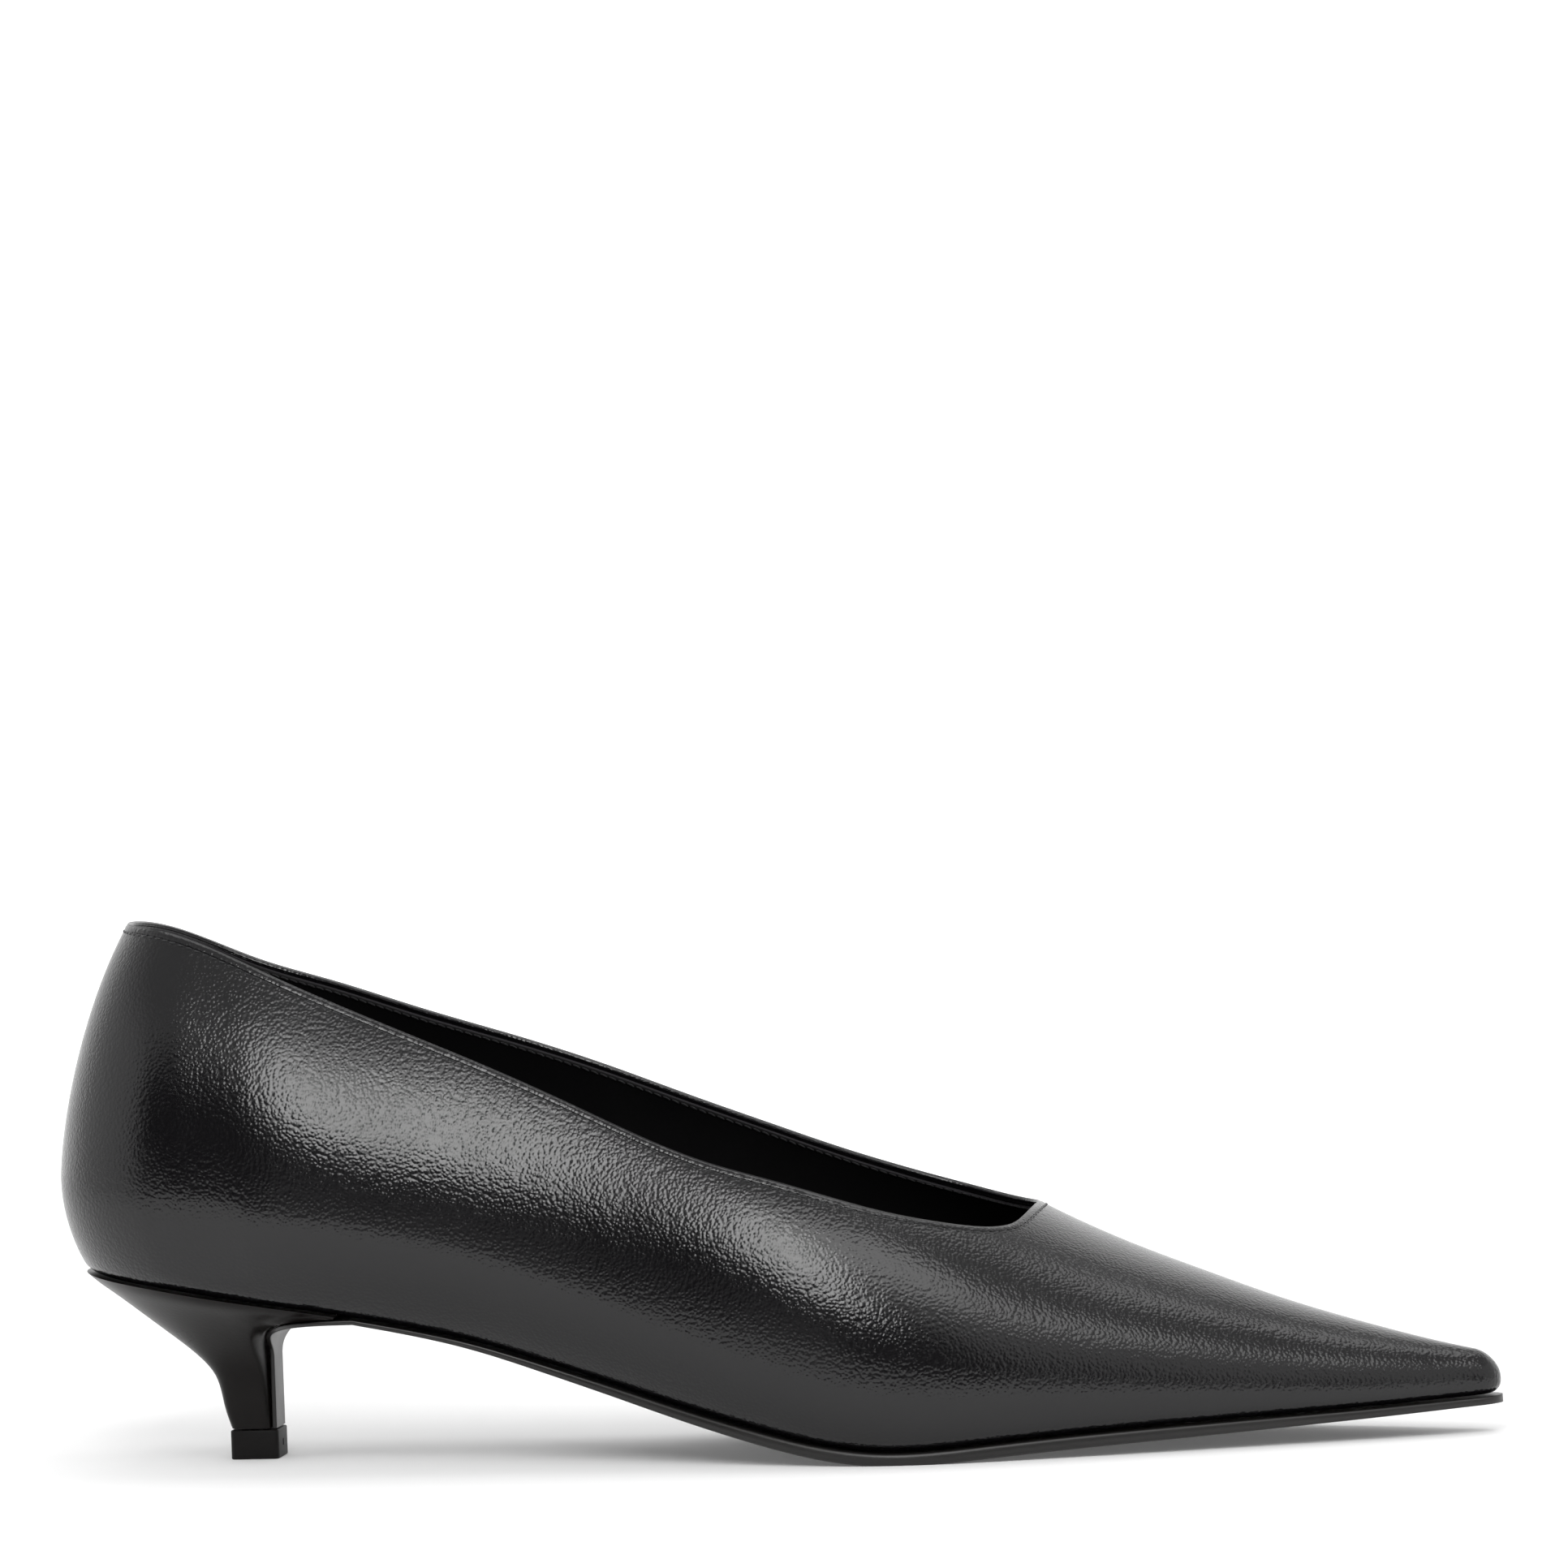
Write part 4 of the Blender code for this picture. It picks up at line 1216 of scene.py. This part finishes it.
@dataclass
class Outsole:
    """The thin leather outsole, skived at the waist, with its flap down the heel's front."""

    last: Last
    shift: Vector
    breast_steps: int = 8
    sole_steps: int = 150
    arch_steps: int = 44
    tip_steps: int = 18
    edge_steps: int = 5
    edge_squareness: float = 0.75
    bead_share: float = 0.40
    bead_width_share: float = 0.12
    tip_end: float = 0.992
    shares: tuple[float, ...] = (0.08, 0.2, 0.35, 0.5, 0.65, 0.8, 0.92)

    def path(self) -> list[Vector]:
        """Its inner face from the side: up the heel's front, over the arch, on to the toe."""
        last, sizes = self.last, self.last.sizes
        path = []
        for i in range(self.breast_steps):
            climb = sizes.breast_straight * i / self.breast_steps
            path.append((last.breast_x, last.breast_bottom + climb))
        path += [last.arch_point(QUARTER * i / self.arch_steps, 0) for i in range(self.arch_steps + 1)]
        for i in range(1, self.sole_steps + 1):
            x = last.join_x + (last.nose_x - last.join_x) * i / self.sole_steps
            path.append((x, last.feather_height(x) - sizes.clearance))
        tip = sizes.toe_radius + sizes.edge_out
        for i in range(1, self.tip_steps + 1):
            x = last.nose_x + tip * math.sin(QUARTER * min(i / self.tip_steps, self.tip_end))
            path.append((x, last.feather_height(x) - sizes.clearance))
        return [Vector((x, 0, z)) for x, z in path]

    def section(
        self, place: Vector, out: Vector, thickness: float, lateral: float, medial: float
    ) -> list[Vector]:
        """One closed cross section: flat faces with a rounded edge between them.

        Args:
            place: its place on the path.
            out: the direction from the inner face to the outer one.
            thickness: the sole's thickness there.
            lateral: y of its lateral edge.
            medial: y of its medial edge.

        Returns:
            The points of the loop, the first one repeated at the end.
        """
        width = medial - lateral
        bead = min(self.bead_share * thickness, self.bead_width_share * width)
        edge = []
        for i in range(2 * self.edge_steps + 1):
            turn = math.pi * i / (2 * self.edge_steps)
            sharp = math.copysign(abs(math.cos(turn)) ** self.edge_squareness, math.cos(turn))
            edge.append((bead * (1 - math.sin(turn) ** self.edge_squareness), 0.5 - 0.5 * sharp))
        loop = [(lateral + inset, depth) for inset, depth in edge]
        loop += [(lateral + width * share, 1.0) for share in self.shares]
        loop += [(medial - inset, depth) for inset, depth in reversed(edge)]
        loop += [(lateral + width * share, 0.0) for share in reversed(self.shares)]
        points = []
        for y, depth in loop + [loop[0]]:
            point = place + out * (depth * thickness)
            points.append(Vector((point.x, y, max(point.z, 0.0))) + self.shift)
        return points

    def build(self) -> None:
        """Builds and dresses the outsole."""
        last, sizes = self.last, self.last.sizes
        path = self.path()
        sections = []
        for i, place in enumerate(path):
            ahead = (path[min(i + 1, len(path) - 1)] - path[max(i - 1, 0)]).normalized()
            out = Vector((ahead.z, 0, -ahead.x))
            thickness = max(sizes.flap_thickness, last.skive(place.x))
            if place.x < last.join_x:
                lateral = -last.front_half_width(place.x, place.z, Side.LATERAL)
                medial = last.front_half_width(place.x, place.z, Side.MEDIAL)
            else:
                lateral, medial = last.plan_edges(place.x, sizes.edge_out)
            sections.append(self.section(place, out, thickness, lateral, medial))
        sole = finished(capped(sections), "outsole_and_flap", Slot.SOLE, [SOLE_CALF.material()], crease=50)
        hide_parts("outsole")


@dataclass
class Heel:
    """The low waisted heel in its leather cover, with the top lift under it."""

    last: Last
    shift: Vector
    levels: int = 64
    arc_steps: int = 72
    side_steps: int = 18
    foot_round: float = 0.25 * MM
    foot_segments: int = 3
    corner_share: float = 0.11
    side_ease: float = 3
    corner_segments: int = 6
    slot_inset: float = 1.9 * MM
    slot_share: float = 0.24
    slot_depth: float = 1.8 * MM

    def build(self) -> None:
        """Builds and dresses the cover and the top lift."""
        self.cover()
        self.top_lift()

    def seat_height(self, x: float) -> float:
        """Top of the heel block under the upper."""
        return self.last.feather_height(x) - self.last.sizes.clearance

    def height(self, x: float, level: float) -> float:
        """Height at a level, from 0 at the top lift to 1 at the seat."""
        return self.last.breast_bottom + (self.seat_height(x) - self.last.breast_bottom) * level

    def front(self, level: float) -> float:
        """x of the heel's front at a level, behind the outsole by the clearance."""
        last = self.last

        def over(angle: float) -> float:
            x, z = last.arch_point(angle, last.sizes.clearance)
            return (z - last.breast_bottom) / (self.seat_height(x) - last.breast_bottom) - level

        x, _ = last.arch_point(solve(over, 0.0, QUARTER), last.sizes.clearance)
        return min(x, last.sizes.wing_tip * last.sizes.shoe_length)

    def ring(self, level: float) -> list[Vector]:
        """The cover's outline at a level, from its lateral front corner round the back."""
        last, sizes = self.last, self.last.sizes
        flare = last.heel_flare(level)
        seat_back = sizes.counter_out - sizes.heel_edge_out
        back = sizes.lift_back + (seat_back - sizes.lift_back) * last.heel_back(level)
        centre_lift = sizes.lift_back + sizes.lift_length / 2
        centre = centre_lift + (last.heel_x - centre_lift) * flare
        seat_half = last.half_width(last.heel_x) + sizes.heel_edge_out
        half = sizes.lift_width / 2 + (seat_half - sizes.lift_width / 2) * flare
        power = 2 / last.heel_square(level)
        front = self.front(level)

        def side_point(side: Side, share: float) -> Vector:
            x = front + (centre - front) * share
            corner = last.front_half_width(front, self.height(front, level), side)
            lateral, medial = last.plan_edges(x, sizes.heel_edge_out)
            seat_here = -lateral if side is Side.LATERAL else medial
            wide = sizes.lift_width / 2 + (seat_here - sizes.lift_width / 2) * flare
            ease = min(share * self.side_ease, 1.0)
            y = corner + (wide - corner) * (1 - (1 - ease) ** 2)
            return Vector((x, side.value * y, self.height(x, level)))

        ring = [side_point(Side.LATERAL, i / self.side_steps) for i in range(self.side_steps)]
        for i in range(self.arc_steps + 1):
            angle = math.pi * i / self.arc_steps
            x = centre - (centre - back) * math.sin(angle) ** power
            across = math.copysign(abs(math.cos(angle)) ** power, math.cos(angle))
            ring.append(Vector((x, -half * across, self.height(x, level))))
        ring += [side_point(Side.MEDIAL, i / self.side_steps) for i in reversed(range(self.side_steps))]
        return [point + self.shift for point in ring + [ring[0]]]

    def cover(self) -> None:
        """The heel block's cover."""
        rings = [self.ring(i / self.levels) for i in range(self.levels + 1)]
        cover = finished(capped(rings), "heel_cover", Slot.HEEL, [HEEL_CALF.material()], crease=50)
        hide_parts("heel")

    def top_lift(self) -> None:
        """The top lift, with round upright corners, softened edges and a small slot in front."""
        sizes = self.last.sizes
        size = Vector((sizes.lift_length, sizes.lift_width, sizes.lift_height))
        maker = bmesh.new()
        bmesh.ops.create_cube(maker, size=1, calc_uvs=True)
        bmesh.ops.scale(maker, vec=size, verts=maker.verts)
        rounding = {"profile": 0.5, "affect": "EDGES", "material": -1}
        upright = [e for e in maker.edges if abs(e.verts[0].co.z - e.verts[1].co.z) > 0.5 * size.z]
        corner = self.corner_share * min(size.x, size.y)
        bmesh.ops.bevel(maker, geom=upright, offset=corner, segments=self.corner_segments, **rounding)
        flat = [f for f in maker.faces if abs(f.normal.z) > 0.9]
        rims = list({edge for face in flat for edge in face.edges})
        bmesh.ops.bevel(maker, geom=rims, offset=self.foot_round, segments=self.foot_segments, **rounding)
        face = max(maker.faces, key=lambda f: f.normal.x * f.calc_area())
        bmesh.ops.inset_individual(maker, faces=[face], thickness=self.slot_inset, use_even_offset=True)
        bmesh.ops.scale(maker, vec=(1, self.slot_share, 1), verts=face.verts)
        pushed = bmesh.ops.extrude_face_region(maker, geom=[face])["geom"]
        inner = [v for v in pushed if isinstance(v, BMVert)]
        bmesh.ops.translate(maker, vec=(-self.slot_depth, 0, 0), verts=inner)
        bmesh.ops.delete(maker, geom=[face], context="FACES")
        centre = Vector((sizes.lift_back + size.x / 2, 0, size.z / 2)) + self.shift
        bmesh.ops.translate(maker, vec=centre, verts=maker.verts)
        bmesh.ops.recalc_face_normals(maker, faces=maker.faces)
        lift = finished(maker, "heel_top_lift", Slot.LIFT, [Rubber().material()])
        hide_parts("top_lift")


@dataclass
class Studio:
    """A white sweep, soft lamps before a dark front, and the camera at the photograph's angle."""

    floor_size: float = 14.0
    bend_start: float = 2.2
    bend_radius: float = 1.4
    camera_place: tuple[float, float, float] = (0.21128, -1.48600, 0.170)
    camera_yaw: float = math.radians(97.90)
    camera_pitch: float = math.radians(-1.66)
    camera_roll: float = math.radians(2.0)
    lens: float = 180.855
    dark_azimuth: float = math.radians(-10)
    near_glow: float = 0.10
    far_glow: float = 0.62
    dark_floor: float = 0.04

    def place(self, name: str, data: ID) -> Object:
        """Puts an object of the studio into the scene."""
        thing = bpy.data.objects.new(name, data)
        bpy.context.scene.collection.objects.link(thing)
        return thing

    def staged(self, name: str, maker: BMesh, material: Material) -> Object:
        """Makes an object of a bmesh, which belongs to the studio and not to the shoe."""
        mesh = bpy.data.meshes.new(name)
        maker.to_mesh(mesh)
        maker.free()
        mesh.shade_smooth()
        mesh.materials.append(material)
        thing = self.place(name, mesh)
        return thing

    def floor(self) -> None:
        """A wide paper sweep, flat under the shoe and curving up far behind it.

        Its glow stands for the lights on its far part.
        """
        made, tree, shader = principled(
            "studio_paper_white", "f3f3f3", Roughness=0.9, Specular_IOR_Level=0.1, Emission_Color=(1, 1, 1, 1)
        )
        place = add_node(tree, "ShaderNodeTexCoord").outputs["Object"]
        depth = add_node(tree, "ShaderNodeSeparateXYZ", None, Vector=place).outputs[1]
        glow = ramp(tree, depth, (0.1, 1.6), (self.near_glow, self.far_glow))
        tree.links.new(glow, shader.inputs["Emission Strength"])
        maker = bmesh.new()
        bmesh.ops.create_grid(maker, x_segments=2, y_segments=64, size=self.floor_size / 2)
        bend, radius = self.bend_start, self.bend_radius
        for vertex in maker.verts:
            y = vertex.co.y
            if y > bend:
                angle = min((y - bend) / radius, QUARTER)
                up = max(y - bend - radius * QUARTER, 0.0)
                vertex.co.y = bend + radius * math.sin(angle)
                vertex.co.z = radius * (1 - math.cos(angle)) + up
        self.staged("studio_sweep", maker, made)

    def panel(
        self,
        name: str,
        y: float,
        corners: Sequence[tuple[float, float]],
        radiance: float,
        gloss_only: bool = False,
    ) -> None:
        """A glowing upright panel in front of the shoe, which the camera doesn't see.

        Args:
            name: its name.
            y: how far in front it stands.
            corners: x and z of its corners, from the lower left one to the right and up.
            radiance: its brightness, where white paper in full light is 1.
            gloss_only: whether only the gloss of the shoe sees it.
        """
        low_left, low_right, high_right, high_left = (Vector((x, y, z)) for x, z in corners)
        made, _, _ = principled(
            name, "000000", Specular_IOR_Level=0.0, Emission_Color=(1, 1, 1, 1), Emission_Strength=radiance
        )
        panel = self.staged(name, grid_over([[low_left, high_left], [low_right, high_right]]), made)
        panel.visible_camera = False
        if gloss_only:
            panel.visible_diffuse = False
            panel.visible_shadow = False

    def lamp(
        self,
        name: str,
        azimuth: float,
        elevation: float,
        distance: float,
        size: tuple[float, float],
        radiance: float,
    ) -> None:
        """A rectangular soft lamp that faces the shoe.

        Args:
            name: its name.
            azimuth: its direction in degrees, from the camera's side (-Y) towards the toe.
            elevation: its height over the horizon in degrees.
            distance: how far it is.
            size: its width and height.
            radiance: its brightness, where white paper in full light is 1.
        """
        data = bpy.data.lights.new(name, "AREA")
        data.shape = "RECTANGLE"
        data.size, data.size_y = size
        data.energy = radiance * math.pi * size[0] * size[1]
        turn, climb = math.radians(azimuth), math.radians(elevation)
        away = Vector((math.sin(turn) * math.cos(climb), -math.cos(turn) * math.cos(climb), math.sin(climb)))
        lamp = self.place(name, data)
        lamp.location = away * distance + SHOE_MIDDLE
        lamp.rotation_euler = away.to_track_quat("Z", "Y").to_euler()

    def room(self) -> None:
        """The room round the sweep: white sides, a dark front and a dim ceiling."""
        world = bpy.data.worlds.new("studio_room")
        world.use_nodes = True
        tree = world.node_tree
        direction = add_node(tree, "ShaderNodeTexCoord").outputs["Generated"]
        height = add_node(tree, "ShaderNodeSeparateXYZ", None, Vector=direction).outputs[2]
        front = (math.sin(self.dark_azimuth), -math.cos(self.dark_azimuth), 0.0)
        ahead = vectors(tree, "DOT_PRODUCT", direction, front).outputs["Value"]
        side = ramp(tree, ahead, (0.58, 0.85), (1.0, 0.0))
        ceiling = (math.sin(math.radians(30)), math.sin(math.radians(60)))
        low = ramp(tree, height, ceiling, (0.9, 0.5))
        white = maths(tree, "MULTIPLY_ADD", side, low, self.dark_floor)
        background = tree.nodes["Background"].inputs
        background["Color"].default_value = (1, 1, 1, 1)
        tree.links.new(white, background["Strength"])
        bpy.context.scene.world = world

    def camera(self) -> None:
        """The camera, level with the shoe's middle and rolled a little."""
        data = bpy.data.cameras.new("photo_camera")
        data.sensor_width = 36
        data.lens = self.lens
        data.clip_end = 30
        level, yaw = math.cos(self.camera_pitch), self.camera_yaw
        forward = Vector((level * math.cos(yaw), level * math.sin(yaw), math.sin(self.camera_pitch)))
        right = forward.cross(Vector((0, 0, 1))).normalized()
        up = right.cross(forward)
        cosine, sine = math.cos(self.camera_roll), math.sin(self.camera_roll)
        axes = (right * cosine - up * sine, up * cosine + right * sine, -forward)
        turn = Matrix(axes).transposed().to_4x4()
        camera = self.place("photo_camera", data)
        camera.matrix_world = Matrix.Translation(Vector(self.camera_place)) @ turn
        bpy.context.scene.camera = camera

    def build(self) -> None:
        """Sets up the studio."""
        self.camera()
        self.floor()
        edge = ((-0.45, 0.0), (0.75, 0.0), (0.75, 0.06), (-0.45, 0.06))
        stand = ((-0.28, 0.0), (-0.02, 0.0), (-0.02, 0.17), (-0.28, 0.17))
        self.panel("studio_table_edge", -0.62, edge, 0.12, gloss_only=True)
        self.panel("studio_camera_stand", -0.60, stand, 0.33, gloss_only=True)
        self.room()
        main_light = ((-0.27, 0.60), (0.16, 0.43), (0.14, 1.20), (-0.12, 1.75))
        self.panel("studio_soft_box", -1.0, main_light, 8.2)
        self.lamp("top_light", 30, 53, 1.35, (0.86, 0.56), 2.8)
        self.lamp("rear_light", 170, 75, 1.6, (1.4, 0.8), 1.8)
        bpy.context.scene.view_settings.view_transform = "Standard"


def row_shift(sizes: ShoeSizes) -> Vector:
    """From the shoe's frame, whose x starts at the back of the counter, to the row frame."""
    low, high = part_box("top_lift")
    return Vector((low.x - sizes.lift_back, (low.y + high.y) / 2, 0))


def lateral_dents(shift: Vector) -> tuple[Dent, ...]:
    """The soft crease that the photograph shows on the lateral quarter."""
    start, end = Vector((113.5, -33, 56)) * MM, Vector((115, -34, 46)) * MM
    return (Dent(start + shift, end + shift, width=3.0 * MM, depth=0.12 * MM),)


def main() -> None:
    """Builds the shoe and its studio."""
    logging.basicConfig(level=logging.INFO, format="%(relativeCreated)6d ms %(message)s")
    sizes = ShoeSizes()
    last = Last(sizes)
    shift = row_shift(sizes)
    Studio().build()
    upper = Upper(last, shift, dents=lateral_dents(shift))
    upper.build()
    Insole(last, shift, upper.stations(last.throat_x(0.0))).build()
    Outsole(last, shift).build()
    Heel(last, shift).build()
    log.info("sizes written")


if __name__ == "__main__":
    main()
